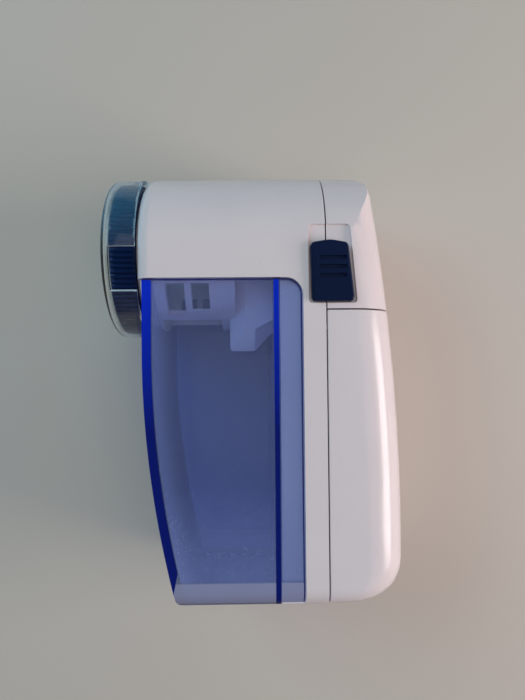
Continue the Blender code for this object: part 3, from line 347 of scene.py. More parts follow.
def wing_shade_outline(tree, x, y):
    """1 within a thin line of the container's rounded top rear corner and the edges beside it, where a
    dark outline is painted as shade.
    """
    across = maths(tree, "MAXIMUM", maths(tree, "SUBTRACT", x, BIN_HIGH.x - WING_CORNER), 0.0)
    up = maths(tree, "MAXIMUM", maths(tree, "SUBTRACT", y, BIN_HIGH.y - WING_CORNER), 0.0)
    return maths(tree, "GREATER_THAN", length(tree, across, up), WING_CORNER - OUTLINE)


def stud_glints_and_shade(tree, x, z, on_base):
    """Painted highlights over the studs and the painted shade beside each of them."""
    column = maths(tree, "DIVIDE", maths(tree, "SUBTRACT", x, BUMP_FIRST_X), BUMP_PITCH_X)
    row = maths(tree, "DIVIDE", maths(tree, "SUBTRACT", z, MID_Z), BUMP_PITCH_Z)
    across = maths(tree, "SUBTRACT", column, maths(tree, "ROUND", column))
    along = maths(tree, "SUBTRACT", row, maths(tree, "ROUND", row))
    for value, low, high in (
        (column, -0.5, BUMP_COLUMNS - 0.5),
        (row, -BUMP_ROWS / 2, BUMP_ROWS / 2),
    ):
        on_base = maths(tree, "MULTIPLY", on_base, maths(tree, "GREATER_THAN", value, low))
        on_base = maths(tree, "MULTIPLY", on_base, maths(tree, "LESS_THAN", value, high))
    away_x = maths(tree, "MULTIPLY", across, BUMP_PITCH_X)
    away_z = maths(tree, "MULTIPLY", along, BUMP_PITCH_Z)
    spots = []
    for shift, radius in ((0.0, STUD_GLINT_RADIUS), (STUD_SHIFT, STUD_SHADE)):
        moved = maths(tree, "ADD", away_x, shift)
        near = maths(tree, "LESS_THAN", length(tree, moved, away_z), radius)
        spots.append(maths(tree, "MULTIPLY", near, on_base))
    return spots


def front_depth(tree, x, y):
    """How far a place lies behind the container's bowed front face."""
    below_bow = maths(tree, "MAXIMUM", maths(tree, "SUBTRACT", BIN_BOW_Y, y), 0.0)
    bow = maths(tree, "MULTIPLY", maths(tree, "MULTIPLY", below_bow, below_bow), BIN_BOW)
    return maths(tree, "SUBTRACT", maths(tree, "SUBTRACT", x, BIN_LOW.x), bow)


def glowing_walls(tree, x, y, depth, normal, inside):
    """1 on the front wall, which tapers near the base, and on the back wall, where the edge glow is
    painted.
    """
    taper = above_base(tree, y, 0.0, BIN_FRONT_WALL, STRIP_TAPER)
    facing_x = node(tree, "SeparateXYZ", {"Vector": normal}).outputs["X"]
    forward = maths(tree, "LESS_THAN", facing_x, FRONT_FACING_X)
    front_side = maths(tree, "MULTIPLY", forward, maths(tree, "SUBTRACT", 1.0, inside))
    front = maths(tree, "MAXIMUM", maths(tree, "LESS_THAN", depth, taper), front_side)
    back = between(tree, x, BIN_BACK_X, BIN_BACK_X + BIN_BACK_WALL, BACK_BLUR)
    return maths(tree, "MAXIMUM", front, back)


def dust_film(tree, vector, y, depth, inside, dots):
    """The share of light that dust, grit and film scatter back, with more of it near the base."""
    cloud = spread(tree, noise(tree, vector, 90, 5, 0.6), 0.7, 1.3)
    toward_base = above_base(tree, y, DUST_SHARE_BASE, DUST_SHARE, BASE_DUST)
    toward_low = above_base(tree, y, DUST_SHARE_LOW, DUST_SHARE, LOW_DUST)
    settled = maths(tree, "MAXIMUM", toward_base, toward_low)
    dusty = maths(tree, "MULTIPLY", maths(tree, "MULTIPLY", inside, settled), cloud)
    grit = maths(tree, "MULTIPLY", dots, GRIT_SHARE)
    outer = above_base(tree, y, FILM_LOW, FILM, LOW_FILM)
    beside = spread(tree, depth, BESIDE_SHARE, 0.0, BIN_FRONT_WALL, BIN_FRONT_WALL + BESIDE_DEPTH)
    outer = maths(tree, "ADD", outer, beside)
    return maths(tree, "ADD", maths(tree, "ADD", dusty, grit), outer)


def container_plastic(name):
    """Blue clear plastic: walls seen edge-on glow blue, and dust dulls the faces of the hollow.

    The front and back walls gather light along their depth, which their edges give off again.
    That glow is painted light, the thin dark outline is painted shade, and the spots over the studs are
    painted highlights with painted shade beside them; the frosted base is painted by place too.
    The dust attribute marks the faces of the hollow.
    """
    made, tree, out = blank(name)
    vector = place(tree)
    spot = node(tree, "SeparateXYZ", {"Vector": vector})
    x, y, z = spot.outputs["X"], spot.outputs["Y"], spot.outputs["Z"]
    normal = node(tree, "NewGeometry").outputs["Normal"]
    inside = node(tree, "Attribute", attribute_name="dust").outputs["Fac"]

    depth = front_depth(tree, x, y)
    # Where a thin dark line is painted as shade round the rounded top rear corner
    outline = wing_shade_outline(tree, x, y)
    # edges holds where the edge glow is painted as light and where the dark outline is painted as shade
    edges = maths(tree, "MAXIMUM", glowing_walls(tree, x, y, depth, normal, inside), outline)
    base = above_base(tree, y, 1.0, 0.0, (BASE_BAND - BASE_BAND_BLUR, BASE_BAND))
    on_base = maths(tree, "LESS_THAN", y, BIN_BASE_Y + BIN_WALL + FACE_SLACK)
    on_base = maths(tree, "MULTIPLY", on_base, inside)
    # Painted highlights over the studs, and painted shade beside them
    painted_glint, shaded = stud_glints_and_shade(tree, x, z, on_base)

    dots = specks(tree, vector, 1500, 0.16, 0.55)
    haze_and_painted_light = dust_film(tree, vector, y, depth, inside, dots)
    # The frosted base, the painted edge glow and outline, and the painted stud highlights and shade
    # raise the scattered share
    shares = ((base, BASE_SHARE), (edges, EDGE_GLOW_SHARE), (painted_glint, STUD_GLINT_SHARE), (shaded, STUD_SHADE_SHARE))
    for mask, share in shares:
        haze_and_painted_light = maths(tree, "MAXIMUM", haze_and_painted_light, maths(tree, "MULTIPLY", mask, share))

    bright_up = spread(tree, y, 0.0, 1.0, AXIS.y - GLOW_DROP[0], AXIS.y - GLOW_DROP[1])
    glow = mix(tree, bright_up, EDGE_GLOW_DARK, EDGE_GLOW_BRIGHT)
    colour = mix(tree, dots, DUST_COLOUR, GRIT_COLOUR)
    # Dust and grit colours, with the painted edge glow, painted dark outline, painted stud shade and
    # painted stud highlights laid over them
    for mask, over in (
        (base, BASE_COLOUR),
        (edges, glow),
        (outline, OUTLINE_SHADE_COLOUR),
        (shaded, STUD_SHADE_COLOUR),
        (painted_glint, STUD_GLINT_COLOUR),
    ):
        colour = mix(tree, mask, colour, over)

    glass = clear_shader(tree, vector, BIN_TINT, BIN_ROUGHNESS)
    facing = mix(tree, on_base, normal, STUD_FACING)
    scatter = node(tree, "BsdfDiffuse", {"Color": colour, "Normal": facing}).outputs[0]
    hazed_with_painted_light = node(tree, "MixShader", {0: haze_and_painted_light, 1: glass, 2: scatter}).outputs[0]
    tree.links.new(lit_through(tree, hazed_with_painted_light, BIN_SHADOW_TINT), out.inputs["Surface"])
    absorb_light(tree, out, ABSORB)
    return made


# Shares of a cell's length: the light band's start, its dark line's half width, and the bare ends
JACKET_BAND, JACKET_LINE = 0.70, 0.008
JACKET_FOOT, JACKET_TIP = 0.022, 0.972


def cell_jacket(name, low_y, high_y, way):
    """A plain printed sleeve on a cell: a dark body, a light band and bare metal ends."""
    made, tree, out = blank(name)
    coordinates = node(tree, "TexCoord").outputs["Object"]
    along = node(tree, "SeparateXYZ", {"Vector": coordinates}).outputs["Y"]
    start, end = (low_y, high_y) if way > 0 else (high_y, low_y)
    share = spread(tree, along, 0.0, 1.0, start, end)
    band = maths(tree, "GREATER_THAN", share, JACKET_BAND)
    edge = maths(tree, "COMPARE", share, JACKET_BAND)
    edge.node.inputs[2].default_value = JACKET_LINE
    vector = place(tree)
    green = mix(tree, noise(tree, vector, 120, 3), (0.012, 0.085, 0.060), (0.018, 0.11, 0.08))
    sleeve = mix(tree, band, green, (0.42, 0.43, 0.42))
    sleeve = mix(tree, edge, sleeve, (0.03, 0.03, 0.03))
    printed = node(
        tree,
        "BsdfPrincipled",
        {"Base Color": sleeve, "Roughness": spread(tree, noise(tree, vector, 300, 3), 0.22, 0.36)},
    )
    bare = node(
        tree,
        "BsdfPrincipled",
        {
            "Base Color": rgba((0.66, 0.65, 0.62)),
            "Metallic": 1.0,
            "Roughness": spread(tree, noise(tree, vector, 900, 3), 0.2, 0.36),
        },
    )
    foot = maths(tree, "LESS_THAN", share, JACKET_FOOT)
    tip = maths(tree, "GREATER_THAN", share, JACKET_TIP)
    ends = maths(tree, "ADD", foot, tip)
    both = node(tree, "MixShader", {0: ends, 1: printed.outputs[0], 2: bare.outputs[0]})
    tree.links.new(both.outputs[0], out.inputs["Surface"])
    return made


WHITE = plastic("white_shell", (0.835, 0.74, 0.765), (0.81, 0.717, 0.742), 0.22, 0.10, 0.03)
NAVY = plastic("navy_plastic", (0.0010, 0.0080, 0.040), (0.0016, 0.0100, 0.048), 0.34, 0.25, 0.02, 0.28)
RING_NAVY = plastic("ring_navy", (0.0010, 0.0095, 0.048), (0.0016, 0.0125, 0.060), 0.36, 0.25, 0.02, 0.2)
BLACK = plastic("black_plastic", (0.022, 0.022, 0.025), (0.030, 0.030, 0.033), 0.50, 0.5)
BLUE_CLEAR = container_plastic("blue_container")
# The share and teal colour paint a reflection of bluish light over the top of the cap
CLEAR = cap_plastic("clear_cap", 0.11, (0.02, 0.42, 0.70))
STEEL = metal("steel", (0.60, 0.60, 0.61), (0.52, 0.52, 0.53), 0.26)
BLADE = metal("blade_steel", (0.68, 0.68, 0.69), (0.60, 0.60, 0.61), 0.18, (1, 12, 12), 0.1)
FOIL = metal("foil_steel", (0.70, 0.70, 0.70), (0.62, 0.62, 0.62), 0.20, (1, 6, 1), 0.1)
ZINC = metal("zinc_plated", (0.55, 0.54, 0.50), (0.46, 0.45, 0.42), 0.34, (1, 1, 1), 0.3, 1400)
BRASS = metal("brass", (0.71, 0.52, 0.22), (0.60, 0.43, 0.18), 0.28)
COPPER = metal("copper_winding", (0.62, 0.27, 0.12), (0.50, 0.20, 0.09), 0.30, (1, 1, 1), 0.5, 1800)
MAGNET = plastic("magnet", (0.055, 0.055, 0.060), (0.075, 0.075, 0.080), 0.55, 0.8)
RED_LEAD = plastic("lead_red", (0.42, 0.020, 0.020), (0.50, 0.030, 0.030), 0.42, 0.4)
BLACK_LEAD = plastic("lead_black", (0.018, 0.018, 0.018), (0.026, 0.026, 0.026), 0.42, 0.4)

# ---------------------------------------------------------------- fine surfaces on the CAD nodes


def geometry_group(name):
    """An empty geometry node group, with its input and output nodes."""
    group = bpy.data.node_groups.new(name, "GeometryNodeTree")
    group.interface.new_socket("Geometry", in_out="INPUT", socket_type="NodeSocketGeometry")
    group.interface.new_socket("Geometry", in_out="OUTPUT", socket_type="NodeSocketGeometry")
    return group, group.nodes.new("NodeGroupInput"), group.nodes.new("NodeGroupOutput")


def smoothing_group():
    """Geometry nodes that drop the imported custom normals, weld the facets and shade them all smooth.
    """
    group, start, end = geometry_group("smooth_facets")
    weld = group.nodes.new("GeometryNodeMergeByDistance")
    weld.inputs["Distance"].default_value = 0.000002
    plain = group.nodes.new("GeometryNodeRemoveAttribute")
    plain.inputs["Name"].default_value = "custom_normal"
    smooth = group.nodes.new("GeometryNodeSetShadeSmooth")
    group.links.new(start.outputs[0], plain.inputs[0])
    group.links.new(plain.outputs[0], weld.inputs["Geometry"])
    group.links.new(weld.outputs[0], smooth.inputs["Geometry"])
    group.links.new(smooth.outputs[0], end.inputs[0])
    return group


def sharpening_group(degrees):
    """Geometry nodes that keep the edges sharper than an angle sharp."""
    group, start, end = geometry_group(f"sharp_over_{degrees}")
    angle = group.nodes.new("GeometryNodeInputMeshEdgeAngle")
    over = group.nodes.new("FunctionNodeCompare")
    over.operation = "GREATER_THAN"
    over.inputs[1].default_value = math.radians(degrees)
    sharp = group.nodes.new("GeometryNodeSetShadeSmooth")
    sharp.domain = "EDGE"
    sharp.inputs["Shade Smooth"].default_value = False
    group.links.new(angle.outputs["Unsigned Angle"], over.inputs[0])
    group.links.new(over.outputs[0], sharp.inputs["Selection"])
    group.links.new(start.outputs[0], sharp.inputs["Geometry"])
    group.links.new(sharp.outputs[0], end.inputs[0])
    return group


WELD_AND_SMOOTH = smoothing_group()
SHARP_ANGLE = 32
KEEP_SHARP = sharpening_group(SHARP_ANGLE)


def refine(obj, edge_round):
    """Welds, dissolves flat facets, rounds the edges slightly and shades smooth."""
    weld = obj.modifiers.new("weld", "NODES")
    weld.node_group = WELD_AND_SMOOTH
    flat = obj.modifiers.new("flat_faces", "DECIMATE")
    flat.decimate_type = "DISSOLVE"
    flat.angle_limit = math.radians(0.4)
    if edge_round:
        rounding = obj.modifiers.new("edges", "BEVEL")
        rounding.width = edge_round
        rounding.segments = 2
        rounding.limit_method = "ANGLE"
        rounding.angle_limit = math.radians(SHARP_ANGLE)
        rounding.use_clamp_overlap = True
    sharp = obj.modifiers.new("sharp", "NODES")
    sharp.node_group = KEEP_SHARP
    even = obj.modifiers.new("even", "WEIGHTED_NORMAL")
    even.keep_sharp = True


def paint(names, material, edge_round):
    for name in names:
        obj = NODES[name]
        obj.data.materials.clear()
        obj.data.materials.append(material)
        refine(obj, edge_round)


def numbered(stem, count):
    return [f"{stem}_{k + 1}" for k in range(count)]


paint(["front_housing", "rear_cover", "battery_door"], WHITE, 0.00025)
paint(["foil_clamp_ring", "blade_hub", "drive_sleeve", "switch_carrier", "switch_nub"], BLACK, 0.00012)
paint(["motor_end_cap", "battery_tray"], BLACK, 0.0002)
paint(numbered("blade", 3), BLADE, 0.00005)
paint(["blade_screw", "motor_shaft"], STEEL, 0.00008)
paint(["motor_can", "slide_switch_body"], ZINC, 0.0001)
paint(["housing_screw", *numbered("tray_screw", 2), *numbered("motor_screw", 2)], ZINC, 0.00006)
paint(["button_contact", "spring_contact", "bridge_contact"], STEEL, 0.0)
paint(["motor_bush", *numbered("motor_terminal", 2), *numbered("switch_terminal", 2)], BRASS, 0.00005)
paint(["motor_armature"], COPPER, 0.0001)
paint(numbered("motor_magnet", 2), MAGNET, 0.0002)
paint(["lead_1"], RED_LEAD, 0.0)
paint(["lead_2", "lead_3"], BLACK_LEAD, 0.0)
for cell, way in (("battery_cell_1", 1), ("battery_cell_2", -1)):
    low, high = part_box(cell)
    paint([cell], cell_jacket(cell + "_jacket", low.y, high.y, way), 0.0)

# ---------------------------------------------------------------- mesh helpers


def linked(name, shape):
    """Turns a bmesh into an object of the scene."""
    mesh = bpy.data.meshes.new(name)
    shape.to_mesh(mesh)
    shape.free()
    obj = bpy.data.objects.new(name, mesh)
    bpy.context.scene.collection.objects.link(obj)
    return obj


def piece(name, shape, material, body, replaced):
    """Makes a mesh object that rides on a body and stands for a CAD node."""
    obj = linked(name, shape)
    mesh = obj.data
    mesh.materials.append(material)
    for polygon in mesh.polygons:
        polygon.use_smooth = True
    mesh.set_sharp_from_angle(angle=math.radians(35))
    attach(obj, body)
    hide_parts(replaced)
    return obj


def arc(centre, radius, start, end, steps):
    for k in range(steps + 1):
        angle = math.radians(start + (end - start) * k / steps)
        yield (centre[0] + radius * math.cos(angle), centre[1] + radius * math.sin(angle))


def revolve(profile, segments, wave=None):
    """A closed profile of (x, radius, ripple) turned about the motor axis.

    wave gives a height for each angle, and a point's radius grows by its ripple times that.
    """
    shape = bmesh.new()
    rings = []
    for k in range(segments):
        angle = 2 * math.pi * k / segments
        height = wave(k) if wave else 0.0
        ring = []
        for x, radius, ripple in profile:
            r = radius + ripple * height
            ring.append(shape.verts.new((x, AXIS.y + r * math.cos(angle), AXIS.z + r * math.sin(angle))))
        rings.append(ring)
    count = len(profile)
    for k in range(segments):
        here, after = rings[k], rings[(k + 1) % segments]
        for i in range(count):
            n = (i + 1) % count
            if profile[i][1] > 1e-7 or profile[n][1] > 1e-7:
                shape.faces.new((here[i], here[n], after[n], after[i]))
    bmesh.ops.remove_doubles(shape, verts=shape.verts, dist=1e-7)
    bmesh.ops.recalc_face_normals(shape, faces=shape.faces)
    return shape


def slab(outline, low, high, at):
    """A flat outline of (u, v) points, extruded from low to high. at(u, v, w) gives the place."""
    shape = bmesh.new()
    rings = [[shape.verts.new(at(u, v, w)) for u, v in outline] for w in (low, high)]
    shape.faces.new(rings[0])
    shape.faces.new(rings[1])
    count = len(outline)
    for i in range(count):
        k = (i + 1) % count
        shape.faces.new((rings[0][i], rings[0][k], rings[1][k], rings[1][i]))
    bmesh.ops.recalc_face_normals(shape, faces=shape.faces)
    return shape


def rounded(corners, steps=6):
    """An outline whose corners (u, v, radius) are rounded by arcs."""
    outline = []
    count = len(corners)
    for i, (u, v, radius) in enumerate(corners):
        here = Vector((u, v))
        if radius <= 0:
            outline.append((u, v))
            continue
        before = (Vector(corners[i - 1][:2]) - here).normalized()
        after = (Vector(corners[(i + 1) % count][:2]) - here).normalized()
        half = math.acos(max(-1.0, min(1.0, before.dot(after)))) / 2
        centre = here + (before + after).normalized() * (radius / math.sin(half))
        first = here + before * (radius / math.tan(half)) - centre
        turn = math.copysign(math.pi - 2 * half, -before.cross(after))
        for k in range(steps + 1):
            point = centre + Matrix.Rotation(turn * k / steps, 2) @ first
            outline.append((point.x, point.y))
    return outline


def combine(shape, others, operation):
    """A Boolean of one bmesh with several others, which gives a new bmesh."""
    base = linked("solid", shape)
    group = bpy.data.collections.new("others")
    bpy.context.scene.collection.children.link(group)
    tools = [linked("solid", other) for other in others]
    for tool in tools:
        bpy.context.scene.collection.objects.unlink(tool)
        group.objects.link(tool)
    modifier = base.modifiers.new("combine", "BOOLEAN")
    modifier.operation = operation
    modifier.solver = "EXACT"
    modifier.operand_type = "COLLECTION"
    modifier.collection = group
    graph = bpy.context.evaluated_depsgraph_get()
    made = bmesh.new()
    mesh = bpy.data.meshes.new_from_object(base.evaluated_get(graph))
    made.from_mesh(mesh)
    for obj in [base, *tools]:
        bpy.data.objects.remove(obj, do_unlink=True)
    bpy.data.collections.remove(group)
    bmesh.ops.remove_doubles(made, verts=made.verts, dist=1e-7)
    bmesh.ops.dissolve_limit(made, angle_limit=0.001, verts=made.verts, edges=made.edges)
    return made


def at_xyz(u, v, w):
    return (u, v, w)


def at_yz(u, v, w):
    """A section in Y and Z, extruded along X."""
    return (w, u, v)


def block(low, high):
    outline = [(low[0], low[1]), (high[0], low[1]), (high[0], high[1]), (low[0], high[1])]
    return slab(outline, low[2], high[2], at_xyz)


# ---------------------------------------------------------------- guard ring

RING_LOW, RING_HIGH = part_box("guard_ring")
RING_R = (RING_HIGH.z - RING_LOW.z) / 2
RIDGES = 95
STEPS_PER_RIDGE = 6
RIDGE_HEIGHT = 0.00042
LIP_R = 0.0164
BORE_R = 0.0177
LIP_THICK = 0.0008


def ridge_height(k):
    """A rounded ridge with a narrow valley between it and the next."""
    share = (k % STEPS_PER_RIDGE) / STEPS_PER_RIDGE
    return -RIDGE_HEIGHT * abs(math.cos(math.pi * share)) ** 3


def make_ring():
    back, front = RING_HIGH.x, RING_LOW.x
    profile = [
        (back, BORE_R, 0),
        (back, RING_R - 0.0009, 0),
        (back - 0.0002, RING_R - 0.0004, 0),
        (back - 0.0005, RING_R - 0.0001, 1),
        (back - 0.0009, RING_R, 1),
        (front + 0.0016, RING_R, 1),
        (front + 0.0009, RING_R - 0.0001, 0.9),
        (front + 0.0004, RING_R - 0.0004, 0.5),
        (front + 0.0001, RING_R - 0.0009, 0.1),
        (front, RING_R - 0.0014, 0),
        (front, LIP_R + 0.0003, 0),
        (front + 0.0002, LIP_R, 0),
        (front + LIP_THICK, LIP_R, 0),
        (front + LIP_THICK, BORE_R, 0),
    ]
    shape = revolve(profile, RIDGES * STEPS_PER_RIDGE, ridge_height)
    piece("ridged_ring", shape, RING_NAVY, "guard", "guard_ring")


make_ring()

# ---------------------------------------------------------------- foil screen

FOIL_LOW, FOIL_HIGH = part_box("foil_screen")
FOIL_R = (FOIL_HIGH.z - FOIL_LOW.z) / 2
HOLE_PITCH = 0.00185
HOLE_R = 0.00062
HOLED_R = 0.0156
HOLE_SIDES = 12
HOLE_DEPTH = 0.001
FOIL_SEGMENTS = 72


def make_foil():
    """A thin steel disc with round holes on a triangular grid."""
    shape = revolve(
        [
            (FOIL_HIGH.x, 0.0, 0),
            (FOIL_HIGH.x, FOIL_R, 0),
            (FOIL_LOW.x, FOIL_R, 0),
            (FOIL_LOW.x, 0.0, 0),
        ],
        FOIL_SEGMENTS,
    )
    holes = bmesh.new()
    rows = int(HOLED_R / (HOLE_PITCH * math.sqrt(3) / 2))
    for row in range(-rows, rows + 1):
        y = row * HOLE_PITCH * math.sqrt(3) / 2
        shift = HOLE_PITCH / 2 if row % 2 else 0.0
        for column in range(-rows, rows + 1):
            z = column * HOLE_PITCH + shift
            if math.hypot(y, z) > HOLED_R:
                continue
            spot = Matrix.Translation(((FOIL_LOW.x + FOIL_HIGH.x) / 2, AXIS.y + y, AXIS.z + z))
            bmesh.ops.create_cone(
                holes,
                cap_ends=True,
                segments=HOLE_SIDES,
                radius1=HOLE_R,
                radius2=HOLE_R,
                depth=HOLE_DEPTH,
                matrix=spot @ Matrix.Rotation(math.radians(90), 4, "Y"),
            )
    screen = combine(shape, [holes], "DIFFERENCE")
    piece("perforated_foil", screen, FOIL, "guard", "foil_screen")


make_foil()

# ---------------------------------------------------------------- clear cap

CAP_LOW, CAP_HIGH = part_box("clear_cap")
CAP_BEAD_R = (CAP_HIGH.z - CAP_LOW.z) / 2
CAP_R = CAP_BEAD_R - 0.0002
CAP_WALL = 0.0010
CAP_ROUND = 0.0022
CAP_SEGMENTS = 144
CAP_SLOTS = 3
SLOT_START, SLOT_SWEEP = 0.7, 30.0
SLOT_X = (RING_LOW.x + 0.0003, RING_HIGH.x + 0.001)
SLOT_R = (CAP_R - CAP_WALL - 0.0006, CAP_R + 0.002)


def make_cap():
    inner = CAP_R - CAP_WALL
    front, rim = CAP_LOW.x, CAP_HIGH.x
    outer_arc = [(*p, 0) for p in arc((front + CAP_ROUND, CAP_R - CAP_ROUND), CAP_ROUND, 90, 180, 8)]
    inner_round = CAP_ROUND - CAP_WALL
    corner = (front + CAP_ROUND, inner - inner_round)
    inner_arc = [(*p, 0) for p in arc(corner, inner_round, 180, 90, 8)]
    bead = [
        (rim, inner + 0.0002, 0),
        (rim, CAP_BEAD_R - 0.0002, 0),
        (rim - 0.0002, CAP_BEAD_R, 0),
        (rim - 0.0006, CAP_BEAD_R, 0),
        (rim - 0.0009, CAP_R, 0),
    ]
    profile = [*bead, *outer_arc, (front, 0.0, 0), (front + CAP_WALL, 0.0, 0), *inner_arc]
    profile.append((rim - 0.0002, inner, 0))
    cutters = [cap_slot(SLOT_START + 360 * k / CAP_SLOTS) for k in range(CAP_SLOTS)]
    shape = combine(revolve(profile, CAP_SEGMENTS), cutters, "DIFFERENCE")
    cap = piece("cap_shell", shape, CLEAR, "cap", "clear_cap")
    mark_cuts(cap)


def mark_cuts(cap):
    """Marks the narrow faces at both ends of each slot, which face round the skirt."""
    mesh = cap.data
    cut_face = mesh.attributes.new("cut_face", "FLOAT", "FACE")
    for polygon in mesh.polygons:
        spoke = Vector((0, polygon.center.y - AXIS.y, polygon.center.z - AXIS.z)).normalized()
        around = abs(polygon.normal.dot(Vector((1, 0, 0)).cross(spoke)))
        cut_face.data[polygon.index].value = float(around > 0.9)


def cap_slot(start):
    """The sector of the skirt that one slot takes away."""
    steps = 12

    def at(radius, degrees):
        angle = math.radians(degrees)
        return (AXIS.y - radius * math.sin(angle), AXIS.z + radius * math.cos(angle))

    angles = [start + SLOT_SWEEP * k / steps for k in range(steps + 1)]
    outline = [at(SLOT_R[0], a) for a in angles]
    outline += [at(SLOT_R[1], a) for a in reversed(angles)]
    return slab(outline, *SLOT_X, at_yz)


make_cap()

# ---------------------------------------------------------------- lint container


def bin_front_x(y, inset=0.0):
    return BIN_LOW.x + inset + BIN_BOW * max(0.0, BIN_BOW_Y - y) ** 2


def bin_outline(inset, back_x, base_y, top_y, top_corner, base_corner):
    """X-Y outline with the bowed front wall on its left."""
    steps = 36
    start = base_y + base_corner
    levels = [start + (top_y - start) * k / steps for k in range(steps + 1)]
    left = [(bin_front_x(y, inset), y) for y in reversed(levels)]
    corner = (left[-1][0] + base_corner, start)
    outline = left + list(arc(corner, base_corner, 180, 270, 8))[1:]
    return outline + rounded([(back_x, base_y, 0.0), (back_x, top_y, top_corner), (*left[0], 0.0)])[:-1]


def base_rim(inset):
    """A block whose two base edges are rounded, as on the housing beside it."""
    low, high = inset, THICK - inset
    base, edge = BIN_BASE_Y + inset, BASE_EDGE - inset
    corners = [(base, low, edge), (PAST_RIM_Y, low, 0), (PAST_RIM_Y, high, 0), (base, high, edge)]
    return slab(rounded(corners, 10), *PAST_X, at_yz)


def collar_circle():
    """The opening round the housing's collar, as (y, z) places about the motor axis."""
    angles = [2 * math.pi * k / COLLAR_STEPS for k in range(COLLAR_STEPS)]
    return [(AXIS.y + COLLAR_R * math.cos(t), AXIS.z + COLLAR_R * math.sin(t)) for t in angles]


def make_container():
    outline = bin_outline(0.0, BIN_HIGH.x, BIN_BASE_Y, BIN_HIGH.y, WING_CORNER, BASE_CORNER)
    shape = slab(outline, 0.0, THICK, at_xyz)
    shape = combine(shape, [base_rim(0.0)], "INTERSECT")
    floor_y = BIN_BASE_Y + BIN_WALL
    outline = bin_outline(BIN_FRONT_WALL, BIN_BACK_X, floor_y, PAST_TOP_Y, 0.0, HOLLOW_CORNER)
    hollow = slab(outline, BIN_WALL, THICK - BIN_WALL, at_xyz)
    hollow = combine(hollow, [base_rim(BIN_WALL)], "INTERSECT")
    last_x = BUMP_FIRST_X + (BUMP_COLUMNS - 1) * BUMP_PITCH_X
    cutters = [
        hollow,
        block(
            (BIN_BACK_X + BIN_BACK_WALL, PAST_LOW_Y, BIN_WALL),
            (PAST_X[1], PAST_TOP_Y, THICK - BIN_WALL),
        ),
        slab(collar_circle(), PAST_X[0], BIN_LOW.x + COLLAR_DEPTH, at_yz),
        block(
            (MOTOR_BLOCK_X[0], MOTOR_BLOCK_Y, MID_Z - MOTOR_BLOCK_HALF_Z),
            (MOTOR_BLOCK_X[1], PAST_TOP_Y, MID_Z + MOTOR_BLOCK_HALF_Z),
        ),
        block(
            (BUMP_FIRST_X - PANEL_MARGIN, PAST_LOW_Y, MID_Z - PANEL_HALF_Z),
            (last_x + PANEL_MARGIN, BIN_BASE_Y + PANEL_DEPTH, MID_Z + PANEL_HALF_Z),
        ),
    ]
    shape = combine(shape, cutters, "DIFFERENCE")
    shape = combine(shape, [make_bumps()], "UNION")
    slot, body = "blue_container", "container"
    mark_inside(piece("container_shell", shape, BLUE_CLEAR, body, "lint_container"))


def make_bumps():
    """Rows of small rounded studs in the panel under the base."""
    shape = bmesh.new()
    for column in range(BUMP_COLUMNS):
        for row in range(BUMP_ROWS):
            x = BUMP_FIRST_X + column * BUMP_PITCH_X
            z = MID_Z + (row - (BUMP_ROWS - 1) / 2) * BUMP_PITCH_Z
            made = bmesh.ops.create_uvsphere(shape, u_segments=14, v_segments=8, radius=BUMP_R)
            spot = Vector((x, BIN_BASE_Y + PANEL_DEPTH + BUMP_SINK, z))
            bmesh.ops.scale(shape, vec=BUMP_OVAL, verts=made["verts"])
            bmesh.ops.translate(shape, vec=spot, verts=made["verts"])
    return shape


def mark_inside(container):
    """Marks the faces towards the hollow, which carry dust."""
    mesh = container.data
    dust = mesh.attributes.new("dust", "FLOAT", "FACE")
    for polygon in mesh.polygons:
        x, y, z = polygon.center
        within = abs(z - MID_Z) < MID_Z - BIN_WALL + FACE_SLACK
        within = within and y > BIN_BASE_Y + BIN_WALL - FACE_SLACK
        within = within and bin_front_x(y) + BIN_FRONT_WALL - FACE_SLACK < x < BIN_BACK_X + FACE_SLACK
        dust.data[polygon.index].value = float(within)


make_container()

# ---------------------------------------------------------------- slide button

SLIDER_LOW, SLIDER_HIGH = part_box("switch_slider")
SLIDER_BOTTOM = 0.04125
SLIDER_LEAN = (0.0003, 0.0015)
SLIDER_CORNER, SLIDER_TOP_ROUND = 0.0010, 0.0006
SHOULDER_Y, SHOULDER_CORNER = SLIDER_HIGH.y - 0.0008, 0.0012
CROWN_X, CROWN_R = SLIDER_LOW.x + 0.0046, 0.008
GROOVES_Y = [SLIDER_LOW.y + rise for rise in (0.0060, 0.0081, 0.0102)]
GROOVE_X = (SLIDER_LOW.x + 0.0020, SLIDER_HIGH.x - 0.0019)
GROOVE_HALF, GROOVE_CORNER, GROOVE_DEPTH = 0.00045, 0.0004, 0.0006
STEM_X = (0.0190, 0.0210)
STEM_Y = (SLIDER_LOW.y + 0.0053, SLIDER_LOW.y + 0.0085)
STEM_OVERLAP = 0.0004


def slider_groove(y):
    """What one groove takes away across the button's top."""
    left, right = GROOVE_X
    low, high = y - GROOVE_HALF, y + GROOVE_HALF
    corners = [(left, low), (right, low), (right, high), (left, high)]
    outline = rounded([(*corner, GROOVE_CORNER) for corner in corners], 5)
    return slab(outline, SLIDER_HIGH.z - GROOVE_DEPTH, SLIDER_HIGH.z + 0.001, at_xyz)


